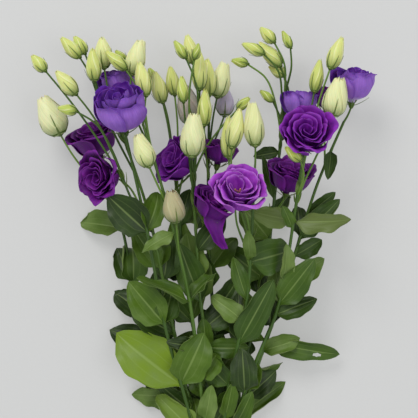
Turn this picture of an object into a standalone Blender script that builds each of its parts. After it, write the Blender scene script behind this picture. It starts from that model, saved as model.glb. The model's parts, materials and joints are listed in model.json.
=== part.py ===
"""A bunch of lisianthus, lying on a surface and held by one band.

Eleven cut stems run side by side through the band and fan out above it. Each stem is one
solid: its stalks, opposite leaves, green calyxes and closed buds. Each open flower is a solid
of its own, with whorls of petals round a small core, and sits on its stem's calyx.

The model is in metres, +Z up. The origin is on the surface under the middle of the band, and
the flowers lie towards +Y. The layout below is in millimetres, and to_mesh() turns it into metres.
"""

import math
import random
from collections import namedtuple

import bmesh
import bpy
import numpy as np
from mathutils.bvhtree import BVHTree

MM = 0.001
GAP = 0.3  # between solids that touch in the real bunch
CLEARANCE = 0.5  # round a solid that only passes another
TOUCH = 1e-4  # what rests on the surface is this near to it
SCRAP_VOLUME = 1.0  # mm3, the least that a union's loose piece must have to be kept
SEED = 11

# The cut stems and the band that holds them.
STEM_RADIUS = 2.6
STEM_TOP_RADIUS = 1.5
STEM_PITCH = 2 * STEM_RADIUS + 0.5
SHOOT_RADIUS = 1.3
STALK_RADIUS = 1.1
ROOT = 1.0  # how deep a stalk's ends are sunk
STEM_SIDES, STALK_SIDES, BUD_SIDES = 5, 3, 5
BAND_WALL = 1.3
BAND_HALF_WIDTH = 6.0
ROW_RISE = STEM_PITCH * math.sqrt(3) / 2  # the stems nest in the band like stacked pipes
CUT_END_Y = -118.0
CUT_END_SPREAD = 2.1
BAND_STRAIGHT = 14.0  # the stems stay parallel this far to each side of the band's middle

# Every row of stems climbs away from the surface at its own slope.
ROWS = ("bottom", "middle", "top")
ROW_COUNT = {"bottom": 4, "middle": 3, "top": 4}
ROW_SLOPE = {"bottom": 0.05, "middle": 0.125, "top": 0.21}

# Leaves, calyxes and buds. Widths along a bud are shares of its half width.
LEAF_THICKNESS = 0.8
PAIRED_LENGTH = 58.0  # the small upper leaves have lost their partners
UNDER_YS = {"bottom": (95, 150, 205, 262, 315), "middle": (75, 130, 190, 250, 305), "top": ()}
LEAF_STATIONS = (0.0, 0.24, 0.6, 1.0)
ACROSS = (-1.0, 0.0, 1.0)
CALYX_HEIGHT = 7.0
CALYX_RADIUS = 4.0
BUD_STATIONS = (0.0, 0.14, 0.42, 0.74, 1.0)
BUD_WIDTHS = (0.34, 0.80, 1.0, 0.62, 0.10)

# A whorl's petals run through these (radius, height) shares of half the flower's width and of
# its depth. A petal spans overlap times its own share of the circle, and skew pushes one of its
# edges out and the other in, so that each petal lies over the next. turn is how far a whorl is
# turned, in petals, and a flower's depth is a share of its width.
Whorl = namedtuple("Whorl", "count turn stations radii heights overlap skew")
Form = namedtuple("Form", "depth whorls")
OUTER = Whorl(5, 0.0, (0, 0.35, 0.7, 1), (0.10, 0.62, 0.86, 1.04), (0.04, 0.30, 0.76, 0.94), 1.42, 3.4)
INNER = Whorl(4, 0.5, (0, 0.5, 1), (0.07, 0.42, 0.60), (0.22, 0.58, 1.0), 1.3, 2.2)
CUPPED = Whorl(5, 0.0, (0, 0.35, 0.7, 1), (0.10, 0.66, 0.96, 0.84), (0.04, 0.26, 0.66, 1.0), 1.42, 3.0)
FULL = Form(0.62, (OUTER, INNER))
PLAIN = Form(0.62, (OUTER,))
CUP = Form(0.80, (CUPPED,))
PETAL_THICKNESS = 0.8
LIGHT, BRIGHT, MID, DARK = "violet_light", "violet_bright", "violet_mid", "violet_dark"
PETAL_COLOURS = {
    LIGHT: (0.25, 0.10, 0.42),
    BRIGHT: (0.24, 0.05, 0.36),
    MID: (0.14, 0.02, 0.24),
    DARK: (0.08, 0.01, 0.13),
}

# A head's place is its middle, and a flower with no z lies on the surface. lean turns it from
# +Y towards +X in the plane of the surface, and lift raises it from that plane towards +Z, both
# in degrees. fork is the y at which its stalk leaves the stem, or None at the stem's top.
Bud = namedtuple("Bud", "fork x y z lean lift length width")
Flower = namedtuple("Flower", "fork x y z lean lift width form tone")
Shoot = namedtuple("Shoot", "fork path heads")
# roll turns the blade about its own line, bend curls its tip down, twist winds it and fold
# closes its two halves towards each other, all in degrees.
Leaf = namedtuple("Leaf", "y lean lift length width roll bend twist fold")
Stem = namedtuple("Stem", "row column path heads shoots leaves")
# What arrange() works out: a stem's own line and its side shoots, then its heads and leaves.
Line = namedtuple("Line", "path radii sides heads")
Grown = namedtuple("Grown", "lines heads leaves")

STEMS = (
    Stem(
        "bottom", 0, [(-54, 138), (-93, 230), (-108, 305), (-135, 385)],
        [
            Flower(None, -141, 414, None, -18, 22, 62, FULL, DARK),
            Bud(325, -190, 443, 50, -25, 8, 49, 31),
        ],
        [],
        [
            Leaf(247, 4, 30, 62, 40, 10, 125, 0, 20),
            Leaf(170, -70, 8, 62, 34, 0, 25, 10, 15),
            Leaf(110, -85, 5, 55, 30, 0, 20, -15, 15),
        ],
    ),
    Stem(
        "middle", 0, [(-37, 138), (-60, 250), (-80, 340), (-110, 430)],
        [
            Bud(400, -129, 515, 58, -4, 5, 37, 20),
            Bud(410, -138, 499, 82, -3, 8, 38, 16),
            Flower(None, -113, 478, 38, -8, 12, 44, CUP, LIGHT),
        ],
        [
            Shoot(
                370, [(-118, 425), (-136, 468)],
                [Bud(None, -166, 520, 68, -44, 8, 32, 14), Bud(452, -157, 525, 50, -32, 5, 24, 13)],
            ),
        ],
        [
            Leaf(265, -35, 10, 60, 30, 0, 30, 0, 18),
            Leaf(207, -20, 0, 58, 30, 0, 20, 0, 18),
            Leaf(150, -60, 5, 60, 34, 0, 20, 0, 15),
            Leaf(95, -50, 0, 52, 28, 0, 15, 0, 15),
        ],
    ),
    Stem(
        "top", 0, [(-39, 129), (-58, 201), (-77, 308), (-101, 420)],
        [
            Flower(None, -105, 443, 100, -10, 36, 60, CUP, LIGHT),
            Flower(330, -119, 371, 70, -95, 55, 54, FULL, DARK),
        ],
        [
            Shoot(
                318, [(-97, 350), (-106, 374)],
                [
                    Bud(None, -169, 478, 84, -41, 8, 35, 17),
                    Bud(368, -166, 446, 102, -80, 6, 22, 11),
                    Bud(360, -195, 500, 86, -41, 5, 24, 13),
                ],
            ),
        ],
        [
            Leaf(129, -53, 8, 100, 62, 0, 25, -12, 14),
            Leaf(201, -40, 12, 66, 44, 0, 18, 0, 34),
            Leaf(308, -47, 15, 62, 42, 0, 10, 0, 16),
            Leaf(72, -45, 10, 64, 38, 0, 25, 20, 30),
        ],
    ),
    Stem(
        "bottom", 1, [(-17, 138), (-33, 240), (-46, 360)],
        [
            Flower(None, -36, 390, 44, -62, 32, 56, FULL, MID),
            Bud(345, -41, 456, 50, -14, 4, 49, 26),
            Bud(352, -66, 478, 62, -15, 6, 39, 17),
            Bud(335, -55, 486, 34, -9, 2, 35, 15),
            Bud(340, -74, 493, 40, -27, 2, 18, 10),
        ],
        [],
        [
            Leaf(270, -10, 5, 60, 30, 0, 20, 0, 15),
            Leaf(200, -45, 0, 62, 32, 0, 15, 0, 15),
            Leaf(140, 30, 0, 56, 30, 0, 15, 0, 15),
        ],
    ),
    Stem(
        "middle", 1, [(-6, 138), (-18, 240), (-26, 378)],
        [
            Bud(None, -25, 418, 96, 4, 10, 50, 26),
            Bud(330, -37, 471, 82, -4, 8, 30, 12),
            Bud(350, -18, 494, 72, -1, 6, 46, 16),
            Bud(338, -44, 521, 46, -13, 3, 35, 16),
            Bud(362, -55, 516, 64, -35, 5, 24, 10),
            Bud(365, -31, 512, 84, 15, 2, 18, 9),
            Bud(372, 33, 456, 66, 45, 6, 20, 10),
        ],
        [],
        [
            Leaf(224, -20, 10, 76, 34, 0, 15, 0, 22),
            Leaf(174, -6, 20, 34, 20, 0, 20, 0, 20),
            Leaf(172, 90, 20, 52, 24, 0, 30, 0, 12),
            Leaf(285, 30, 10, 56, 26, 0, 30, 0, 20),
            Leaf(110, -30, 5, 60, 30, 0, 20, 0, 18),
        ],
    ),
    Stem(
        "top", 1, [(-17, 130), (-29, 227), (-52, 330), (-81, 430)],
        [
            Bud(None, -87, 482, 96, -12, 6, 40, 17),
            Bud(385, -90, 508, 70, 17, 4, 42, 21),
            Bud(400, -118, 504, 84, -48, 6, 31, 13),
            Bud(392, -109, 511, 62, -42, 4, 18, 9),
            Bud(340, -80, 400, 112, -19, 10, 39, 21),
            Bud(285, -47, 338, 92, -9, 12, 38, 23),
        ],
        [],
        [
            Leaf(227, -60, 20, 74, 32, 55, 10, 20, 12),
            Leaf(175, -80, 15, 36, 20, 0, 20, 0, 20),
            Leaf(308, -118, 10, 44, 20, 20, 10, 30, 18),
            Leaf(138, 36, 25, 42, 28, 0, 90, 0, 10),
            Leaf(86, 10, 30, 46, 22, 0, 40, 0, 18),
        ],
    ),
    Stem(
        "bottom", 2, [(3, 138), (-6, 265), (-8, 357), (-7, 440)],
        [
            Bud(None, -8, 488, 50, -3, 2, 44, 17),
            Flower(280, -4, 338, 58, 28, 25, 52, FULL, DARK),
            Flower(345, 0, 400, 34, 10, 12, 42, PLAIN, DARK),
            Bud(400, 12, 463, 40, 2, 3, 36, 20),
            Bud(390, 7, 486, 66, 13, 4, 42, 22),
            Bud(370, -7, 451, 80, 2, 8, 43, 15),
            Bud(380, -19, 445, 62, -23, 4, 18, 9),
        ],
        [],
        [
            Leaf(241, -19, 20, 48, 30, 0, 60, 0, 16),
            Leaf(262, 32, 4, 56, 32, 0, 30, 0, 15),
            Leaf(212, 40, 10, 54, 30, 10, 40, 10, 18),
            Leaf(180, 20, 0, 60, 30, 0, 15, 0, 15),
            Leaf(120, -20, 0, 56, 28, 0, 15, 0, 15),
        ],
    ),
    Stem(
        "top", 2, [(17, 132), (35, 215), (41, 290), (44, 370)],
        [
            Bud(None, 43, 430, 100, -5, 8, 50, 21),
            Flower(268, 25, 351, 118, 10, 50, 60, FULL, BRIGHT),
            Bud(285, 15, 417, 82, 0, 6, 48, 16),
            Bud(300, 28, 426, 92, 12, 6, 46, 18),
        ],
        [],
        [
            Leaf(178, 28, 20, 88, 34, 0, 20, 0, 18),
            Leaf(230, -18, 8, 52, 20, 0, 30, 10, 25),
            Leaf(205, -50, 6, 50, 28, 10, 40, -10, 18),
            Leaf(274, 75, 25, 54, 42, 0, 70, 0, 10),
            Leaf(276, -15, 25, 48, 16, 0, 20, 0, 20),
            Leaf(88, 12, 25, 48, 20, 0, 15, 20, 18),
            Leaf(128, -45, 20, 52, 30, 0, 30, 0, 15),
        ],
    ),
    Stem(
        "bottom", 3, [(32, 138), (57, 245), (70, 345), (84, 477)],
        [
            Bud(None, 83, 532, 46, -27, 3, 22, 9),
            Flower(325, 86, 370, 44, 10, 26, 58, FULL, DARK),
            Flower(415, 97, 455, 44, 4, 6, 40, CUP, LIGHT),
            Bud(440, 60, 536, 58, -45, 4, 24, 13),
            Bud(452, 63, 515, 76, -44, 6, 38, 16),
            Bud(430, 43, 519, 64, -66, 4, 28, 12),
            Bud(420, 28, 505, 50, -78, 4, 20, 10),
            Bud(436, 72, 497, 38, -60, 2, 22, 13),
            Bud(405, 59, 465, 60, -52, 4, 20, 9),
        ],
        [],
        [
            Leaf(299, -40, 5, 54, 36, 0, 20, 0, 15),
            Leaf(252, -52, 2, 60, 36, 0, 25, 0, 15),
            Leaf(200, -40, 0, 60, 36, 0, 25, 0, 15),
            Leaf(345, -15, 15, 56, 11, 0, 10, 0, 10),
            Leaf(402, -100, 20, 32, 17, 0, 20, 0, 15),
            Leaf(140, 80, 5, 50, 24, 40, 15, 50, 15),
            Leaf(230, 35, 0, 60, 30, 0, 15, 0, 15),
            Leaf(84, 55, 0, 78, 24, 0, 10, 0, 15),
        ],
    ),
    Stem(
        "middle", 2, [(46, 138), (81, 242), (116, 357), (148, 435)],
        [
            Flower(None, 159, 476, 60, 4, 18, 46, CUP, LIGHT),
            Flower(385, 135, 464, None, 14, 10, 46, PLAIN, DARK),
        ],
        [],
        [
            Leaf(178, 100, 10, 94, 26, 0, 35, 0, 12),
            Leaf(168, 70, 10, 48, 26, 0, 30, 0, 15),
            Leaf(300, 45, 15, 66, 26, 0, 15, 0, 18),
            Leaf(328, 52, 0, 44, 15, 0, 15, 0, 20),
            Leaf(280, 60, 0, 38, 23, 0, 10, 0, 12),
            Leaf(402, -172, 30, 36, 15, 0, 15, 0, 12),
            Leaf(112, 48, 5, 48, 26, 0, 15, 0, 15),
        ],
    ),
    Stem(
        "top", 3, [(38, 132), (72, 220), (89, 320), (99, 396)],
        [
            Flower(None, 102, 417, 104, 5, 60, 58, FULL, MID),
            Bud(350, 86, 396, 116, -51, 10, 24, 11),
            Bud(340, 136, 461, 92, 12, 8, 45, 26),
            Bud(350, 133, 513, 76, 21, 5, 39, 16),
            Bud(352, 117, 488, 66, 10, 3, 39, 14),
        ],
        [],
        [
            Leaf(320, 92, 15, 68, 30, 150, 20, 0, 14),
            Leaf(224, 37, 20, 70, 32, 0, 15, 0, 14),
            Leaf(212, 66, 10, 52, 28, 0, 25, 0, 12),
            Leaf(253, 8, 25, 44, 20, 0, 20, 0, 14),
            Leaf(313, -25, 25, 30, 15, 0, 30, 0, 20),
            Leaf(120, -4, 25, 58, 34, 0, 60, 0, 20),
            Leaf(80, 24, 25, 50, 22, 0, 20, 0, 18),
        ],
    ),
)


# --- geometry helpers; points are numpy arrays in millimetres --------------------------------


def unit(vector):
    return vector / np.linalg.norm(vector)


def heading(lean, lift):
    """The direction of a head or a blade from its two angles in degrees."""
    lean, lift = math.radians(lean), math.radians(lift)
    return np.array(
        [math.cos(lift) * math.sin(lean), math.cos(lift) * math.cos(lean), math.sin(lift)]
    )


def spline(points, steps):
    """A Catmull-Rom curve through the points, with that many steps between each two."""
    points = np.asarray(points, float)
    padded = np.vstack([2 * points[0] - points[1], points, 2 * points[-1] - points[-2]])
    curve = []
    for before, start, end, after in zip(padded, padded[1:], padded[2:], padded[3:]):
        for step in range(steps):
            t = step / steps
            curve.append(
                0.5
                * (
                    2 * start
                    + (end - before) * t
                    + (2 * before - 5 * start + 4 * end - after) * t**2
                    + (3 * start - before - 3 * end + after) * t**3
                )
            )
    curve.append(points[-1])
    return np.array(curve)


def arc_between(start, start_way, end, end_way, steps):
    """A Hermite curve that leaves start along start_way and reaches end along end_way."""
    reach = np.linalg.norm(end - start)
    t = np.linspace(0, 1, steps + 1)[:, None]
    return (
        (2 * t**3 - 3 * t**2 + 1) * start
        + (t**3 - 2 * t**2 + t) * reach * start_way
        + (3 * t**2 - 2 * t**3) * end
        + (t**3 - t**2) * reach * end_way
    )


def point_at(path, y):
    """Where a path passes that y, and the way it runs there."""
    index = int(np.clip(np.searchsorted(path[:, 1], y), 1, len(path) - 1))
    low, high = path[index - 1], path[index]
    share = np.clip((y - low[1]) / (high[1] - low[1]), 0, 1)
    return low + (high - low) * share, unit(high - low)


def turned(vector, axis, degrees):
    """The vector turned about a unit axis."""
    angle = math.radians(degrees)
    return (
        vector * math.cos(angle)
        + np.cross(axis, vector) * math.sin(angle)
        + axis * np.dot(axis, vector) * (1 - math.cos(angle))
    )


def across(way):
    """A direction at right angles to way that lies in the plane of the surface."""
    side = np.cross(way, [0, 0, 1])
    return unit(side) if np.linalg.norm(side) > 1e-3 else np.array([1.0, 0, 0])


# --- solids, each a pair of points and triangles ---------------------------------------------


def tube(path, radii, sides):
    """A closed tube along a path, with one radius for each of its points."""
    path = np.asarray(path, float)
    side_way = across(unit(path[1] - path[0]))
    points = []
    for centre, way, radius in zip(path, np.gradient(path, axis=0), radii):
        way = unit(way)
        side_way = unit(side_way - way * np.dot(side_way, way))
        up_way = np.cross(side_way, way)
        for side in range(sides):
            angle = 2 * math.pi * side / sides
            points.append(centre + radius * (math.cos(angle) * side_way + math.sin(angle) * up_way))
    faces = []
    for ring in range(0, len(points) - sides, sides):
        for side in range(sides):
            a, b = ring + side, ring + (side + 1) % sides
            faces += [(a, b + sides, b), (a, a + sides, b + sides)]
    last = len(points) - sides
    for side in range(1, sides - 1):
        faces += [(0, side, side + 1), (last, last + side + 1, last + side)]
    return np.array(points), faces


def turned_solid(base, way, profile, sides):
    """A solid of revolution on an axis, from its (radius, height) pairs."""
    return tube([base + way * height for _, height in profile], [r for r, _ in profile], sides)


def blade(grid, thickness):
    """A thin solid either side of a grid of points, split into triangles alike on both faces."""
    rows, columns, _ = grid.shape
    sideways = np.gradient(grid, axis=1)
    for end, inner in ((0, 1), (-1, -2)):
        sideways[end] = sideways[inner]  # a pointed end has no width of its own
    normal = np.cross(np.gradient(grid, axis=0), sideways)
    normal /= np.linalg.norm(normal, axis=2, keepdims=True)
    for end in (0, -1):
        if np.ptp(grid[end], axis=0).max() < 1e-6:
            normal[end] = normal[end, columns // 2]
    half = normal * thickness / 2
    points = np.vstack([(grid + half).reshape(-1, 3), (grid - half).reshape(-1, 3)])
    lower = rows * columns
    faces = []
    for row in range(rows - 1):
        for column in range(columns - 1):
            a = row * columns + column
            b, c, d = a + 1, a + 1 + columns, a + columns
            faces += [(a, c, b), (a, d, c)]
            faces += [(lower + a, lower + b, lower + c), (lower + a, lower + c, lower + d)]
    rim = [(0, column) for column in range(columns)]
    rim += [(row, columns - 1) for row in range(1, rows)]
    rim += [(rows - 1, column) for column in range(columns - 2, -1, -1)]
    rim += [(row, 0) for row in range(rows - 2, 0, -1)]
    rim = [row * columns + column for row, column in rim]
    for a, b in zip(rim, rim[1:] + rim[:1]):
        faces += [(a, b, b + lower), (a, b + lower, a + lower)]
    return points, faces


# --- what grows on a stem --------------------------------------------------------------------


def leaf_outline(share):
    """The width of an egg-shaped blade at a share of its length, as a share of its widest."""
    return min(1.0, 5 * share) * 1.17 * (0.38 + 1.85 * share**0.8) * (1 - share) ** 0.75


def leaf_grid(root, leaf, stations, columns):
    """The middle surface of a leaf that grows from a point inside its stem."""
    way = heading(leaf.lean, leaf.lift)
    side = turned(across(way), way, leaf.roll)
    face = np.cross(side, way)
    fold = math.radians(leaf.fold)
    point = root
    rows = []
    previous = 0.0
    for share in stations:
        lead = turned(way, side, -leaf.bend * ((share + previous) / 2) ** 1.3)
        point = point + lead * (share - previous) * leaf.length
        normal = turned(turned(face, side, -leaf.bend * share**1.3), lead, leaf.twist * share)
        cross_way = turned(side, lead, leaf.twist * share)
        half = leaf.width / 2 * leaf_outline(share)
        rows.append(
            [
                point + half * (u * math.cos(fold) * cross_way + abs(u) * math.sin(fold) * normal)
                for u in columns
            ]
        )
        previous = share
    grid = np.array(rows)
    grid[:, :, 2] = np.maximum(grid[:, :, 2], LEAF_THICKNESS / 2)  # what sinks lies on the surface
    return grid


def leaf_solid(root, leaf, clearance=0.0):
    points, faces = blade(
        leaf_grid(root, leaf, LEAF_STATIONS, ACROSS), LEAF_THICKNESS + 2 * clearance
    )
    points[:, 2] = np.maximum(points[:, 2], 0.0)
    return points, faces


def bud_solid(bud, base, way, clearance=0.0):
    """A closed bud."""
    radii = np.array(BUD_WIDTHS) * bud.width / 2
    profile = list(zip(radii + clearance, np.array(BUD_STATIONS) * bud.length))
    return turned_solid(base, way, profile, BUD_SIDES)


def petal_grid(flower, whorl, number):
    """The middle surface of one petal, in the flower's own frame with its axis on +Z."""
    middle = 2 * math.pi * (number + whorl.turn) / whorl.count
    span = whorl.overlap * math.pi / whorl.count
    grid = np.zeros((len(whorl.stations), len(ACROSS), 3))
    for i, station in enumerate(whorl.stations):
        for j, u in enumerate(ACROSS):
            v = station * (1 - 0.16 * u * u)
            radius = np.interp(v, whorl.stations, whorl.radii) * flower.width / 2
            radius += whorl.skew * u * min(1.0, 3 * v)
            height = np.interp(v, whorl.stations, whorl.heights) * flower.width * flower.form.depth
            angle = middle + u * span * math.sin(min(1.0, 2.6 * v) * math.pi / 2)
            grid[i, j] = radius * math.cos(angle), radius * math.sin(angle), height
    return grid


def flower_solids(flower, base, way, clearance=0.0):
    """The core and its two whorls of petals."""
    side = across(way)
    frame = np.array([side, np.cross(way, side), way])
    core = [(CALYX_RADIUS, 0.0), (5.0, 6.0), (3.5, 13.0)]
    solids = [turned_solid(base, way, core, 6)]
    for whorl in flower.form.whorls:
        for number in range(whorl.count):
            grid = petal_grid(flower, whorl, number)
            solids.append(blade(grid @ frame + base, PETAL_THICKNESS + 2 * clearance))
    return solids


def calyx_solid(base, way):
    """The green cup under a flower."""
    low = base - way * (CALYX_HEIGHT + GAP)
    return turned_solid(low, way, [(2.0, 0), (CALYX_RADIUS, CALYX_HEIGHT)], 6)


def head_base(head):
    """The top of a head's stalk, and the way the head looks."""
    way = heading(head.lean, head.lift)
    depth = head.length / 2 if isinstance(head, Bud) else head.width * head.form.depth / 2
    z = head.z or 0.0
    return np.array([head.x, head.y, z], float) - way * depth, way


def stalk_line(path, head, base, way):
    """The line of a head's stalk, from its stem to its calyx."""
    end = base + way * ROOT if isinstance(head, Bud) else base - way * (CALYX_HEIGHT + GAP - ROOT)
    if head.fork is None:
        start_way = unit(path[-1] - path[-2])
        start = path[-1] - start_way * ROOT
    else:
        start, stem_way = point_at(path, head.fork)
        start_way = unit(stem_way + unit(end - start))
    steps = max(2, min(4, round(np.linalg.norm(end - start) / 30)))
    return arc_between(start, start_way, end, way, steps)


def stalk_solid(line, clearance):
    return tube(line, np.linspace(STALK_RADIUS + 0.25, STALK_RADIUS, len(line)) + clearance, STALK_SIDES)


# --- the band ----------------------------------------------------------------------------------


def band_outline(offset, steps=3):
    """The line round the bundled stems at a distance from them, with rounded corners."""
    half = (ROW_COUNT["bottom"] - 1) / 2 * STEM_PITCH
    low, high = row_height("bottom"), row_height("top")
    radius = STEM_RADIUS + offset
    outline = []
    for x, z, start in ((half, low, -90), (half, high, 0), (-half, high, 90), (-half, low, 180)):
        for step in range(steps + 1):
            angle = math.radians(start + 90 * step / steps)
            outline.append((x + radius * math.cos(angle), z + radius * math.sin(angle)))
    return outline


def band_solid():
    """A closed loop round all the stems."""
    inner, outer = band_outline(GAP), band_outline(GAP + BAND_WALL)
    count = len(inner)
    points = [
        (x, y, z) for y in (-BAND_HALF_WIDTH, BAND_HALF_WIDTH) for x, z in inner + outer
    ]
    faces = []
    loops = (0, count, 3 * count, 2 * count)
    for a in range(count):
        b = (a + 1) % count
        for one, two in zip(loops, loops[1:] + loops[:1]):
            faces += [(one + a, two + a, two + b), (one + a, two + b, one + b)]
    return np.array(points), faces


# --- placing without crossing ----------------------------------------------------------------


def tree_of(solid):
    points, faces = solid
    return BVHTree.FromPolygons(points.tolist(), faces)


class Space:
    """What has been placed so far. Solids are told apart by their node and by a tag."""

    def __init__(self):
        self.owners, self.trees = [], []
        self.lows = self.highs = np.empty((0, 3))

    def is_clear(self, node, tag, solids):
        """Whether the solids touch nothing but their own stem and what shares their tag."""
        own = ((node, "stem"), (node, tag))
        for solid in solids:
            points = solid[0]
            near = (points.min(0) < self.highs).all(1) & (points.max(0) > self.lows).all(1)
            trees = [self.trees[i] for i in np.flatnonzero(near) if self.owners[i] not in own]
            if trees:
                tree = tree_of(solid)
                if any(tree.overlap(other) for other in trees):
                    return False
        return True

    def add(self, node, tag, solids):
        for solid in solids:
            self.owners.append((node, tag))
            self.trees.append(tree_of(solid))
            self.lows = np.vstack([self.lows, solid[0].min(0)])
            self.highs = np.vstack([self.highs, solid[0].max(0)])


def nearby(head):
    """The head where it is designed, then ever further from there."""
    yield head
    for step in range(1, 14):
        for sign in (1, -1):
            yield head._replace(z=head.z + sign * 3.0 * step)
        for dx, dy in ((5, 0), (-5, 0), (0, 5), (0, -5)):
            for dz in (0, 6, -6):
                scale = 1 + step // 5
                yield head._replace(x=head.x + dx * scale, y=head.y + dy * scale, z=head.z + dz * scale)


def bent(leaf):
    """The leaf as designed, then turned, lifted and rolled ever further, then smaller."""
    tries = [
        (abs(lift) + 0.7 * abs(roll) + 1.2 * abs(lean), lift, roll, lean)
        for lift in (0, 8, -8, 16, -16, 26, -26, 38)
        for roll in (0, 20, -20, 40, -40, 65)
        for lean in (0, 8, -8, 18, -18, 30)
    ]
    for size in (1.0, 0.84, 0.7):
        for _, lift, roll, lean in sorted(tries):
            yield leaf._replace(
                lift=leaf.lift + lift,
                roll=leaf.roll + roll,
                lean=leaf.lean + lean,
                length=leaf.length * size,
                width=leaf.width * size,
            )


def row_height(row):
    """The height of a row of stems inside the band."""
    return BAND_WALL + GAP + STEM_RADIUS + ROWS.index(row) * ROW_RISE


def stem_path(stem):
    """A stem's line, from its cut end through the band to its last fork."""
    x = (stem.column - (ROW_COUNT[stem.row] - 1) / 2) * STEM_PITCH
    z = row_height(stem.row)
    cut_z = STEM_RADIUS + (z - row_height("bottom")) * CUT_END_SPREAD
    cut_y = CUT_END_Y + 5.0 * ((stem.column * 2 + ROWS.index(stem.row)) % 4)
    points = [
        (x * CUT_END_SPREAD, cut_y, cut_z),
        (x * 1.5, -58.0, (cut_z + z) / 2),
        (x, -BAND_STRAIGHT, z),
        (x, BAND_STRAIGHT, z),
    ]
    slope = ROW_SLOPE[stem.row]
    points += [(px, py, z + slope * (py - BAND_STRAIGHT)) for px, py in stem.path]
    return np.vstack([points[:3], spline(points[3:], 2)])  # straight through the band


def shoot_path(path, shoot):
    """A side shoot's line, which climbs from its fork towards its first head."""
    start, _ = point_at(path, shoot.fork)
    base, _ = head_base(shoot.heads[0])
    slope = (base[2] - start[2]) / (base[1] - start[1])
    points = [start] + [(x, y, start[2] + slope * (y - start[1])) for x, y in shoot.path]
    return spline(points, 2)


def grown_head(path, head, clearance=0.0):
    """The stalk, the green solids and the petals of a head."""
    base, way = head_base(head)
    stalk = stalk_solid(stalk_line(path, head, base, way), clearance)
    if isinstance(head, Bud):
        return stalk, [bud_solid(head, base, way, clearance)], []
    return stalk, [calyx_solid(base, way)], flower_solids(head, base, way, clearance)


def lowest(solids):
    return min(points[:, 2].min() for points, _ in solids)


def laid(head, path):
    """The flower at the height where its lowest petal touches the surface."""
    _, _, petals = grown_head(path, head)
    return head._replace(z=-lowest(petals))


def posed_head(space, node, tag, path, head, flower_name):
    """The first pose of a head that is clear of what is already in the space."""
    tries = nearby(head) if head.z is not None else [laid(head, path)]
    for tried in tries:
        stalk, green, petals = grown_head(path, tried, CLEARANCE)
        if lowest([stalk, *green]) < CLEARANCE:
            continue
        if not (space.is_clear(node, "stalk", [stalk]) and space.is_clear(node, tag, green)):
            continue
        if not space.is_clear(flower_name, tag, petals):
            continue
        stalk, green, petals = grown_head(path, tried)
        if petals and lowest(petals) < -TOUCH:
            continue
        space.add(node, "stalk", [stalk])
        space.add(node, tag, green)
        space.add(flower_name, tag, petals)
        return tried
    raise ValueError(f"no clear place for {node} {head}")


def posed_leaf(space, node, tag, path, leaf):
    """The first pose of a leaf that is clear of what is in the space, or None."""
    root, _ = point_at(path, leaf.y)
    for tried in bent(leaf):
        if space.is_clear(node, tag, [leaf_solid(root, tried, CLEARANCE)]):
            space.add(node, tag, [leaf_solid(root, tried)])
            return tried
    return None


def partner(leaf, path, draw):
    """The leaf across the stem from a given one."""
    _, way = point_at(path, leaf.y)
    stem_lean = math.degrees(math.atan2(way[0], way[1]))
    return leaf._replace(
        y=leaf.y + 2.0,
        lean=2 * stem_lean - leaf.lean + draw.uniform(-12, 12),
        lift=-leaf.lift * 0.5 + draw.uniform(-5, 10),
        length=leaf.length * draw.uniform(0.6, 0.8),
        width=leaf.width * draw.uniform(0.65, 0.8),
        roll=-leaf.roll,
        twist=-leaf.twist,
        bend=draw.uniform(10, 45),
    )


def undergrowth(stem, path, draw):
    """The leaves that fill the bunch from behind, close above the surface."""
    for number, y in enumerate(UNDER_YS[stem.row]):
        _, way = point_at(path, y)
        side = 1 if (number + stem.column) % 2 else -1
        length = draw.uniform(44, 62)
        yield Leaf(
            y=y + draw.uniform(-8, 8),
            lean=math.degrees(math.atan2(way[0], way[1])) + side * draw.uniform(18, 62),
            lift=draw.uniform(-8, 6),
            length=length,
            width=length * draw.uniform(0.5, 0.66),
            roll=draw.uniform(-20, 20),
            bend=draw.uniform(5, 45),
            twist=draw.uniform(-20, 20),
            fold=draw.uniform(8, 22),
        )


def arrange():
    """Every node's lines, heads and leaves, posed clear of each other."""
    draw = random.Random(SEED)
    space = Space()
    space.add("band", "band", [band_solid()])
    bunch = {}
    for number, stem in enumerate(STEMS, 1):
        node = f"stem_{number:02d}"
        path = stem_path(stem)
        radii = np.interp(path[:, 1], [0, path[-1, 1]], [STEM_RADIUS, STEM_TOP_RADIUS])
        lines = [Line(path, radii, STEM_SIDES, stem.heads)]
        for shoot in stem.shoots:
            side_path = shoot_path(path, shoot)
            lines.append(Line(side_path, [SHOOT_RADIUS] * len(side_path), STALK_SIDES, shoot.heads))
        bunch[node] = Grown(lines, [], [])
        space.add(node, "stem", [tube(line.path, line.radii, line.sides) for line in lines])
    heads = [
        (node, line.path, head)
        for node, grown in bunch.items()
        for line in grown.lines
        for head in line.heads
    ]
    heads.sort(key=lambda entry: isinstance(entry[2], Bud))  # the flowers take their places first
    for number, (node, path, head) in enumerate(heads, 1):
        name = f"flower_{number:02d}"
        head = posed_head(space, node, f"head {number}", path, head, name)
        bunch[node].heads.append((name, path, head))
    leaves = [
        (node, f"pair {number}", bunch[node].lines[0].path, leaf)
        for node, stem in zip(bunch, STEMS)
        for number, leaf in enumerate(stem.leaves)
    ]
    pairs = [entry for entry in leaves if entry[3].length >= PAIRED_LENGTH]
    leaves += [(node, tag, path, partner(leaf, path, draw)) for node, tag, path, leaf in pairs]
    for node, stem in zip(bunch, STEMS):
        path = bunch[node].lines[0].path
        leaves += [(node, f"low {leaf.y}", path, leaf) for leaf in undergrowth(stem, path, draw)]
    for node, tag, path, leaf in leaves:
        posed = posed_leaf(space, node, tag, path, leaf)
        if posed:
            bunch[node].leaves.append((path, posed))
    return bunch


# --- Blender objects -----------------------------------------------------------------------------


def material(name, colour, roughness):
    made = bpy.data.materials.new(name)
    made.use_nodes = True
    shader = made.node_tree.nodes["Principled BSDF"]
    shader.inputs["Base Color"].default_value = (*colour, 1)
    shader.inputs["Roughness"].default_value = roughness
    return made


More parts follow.
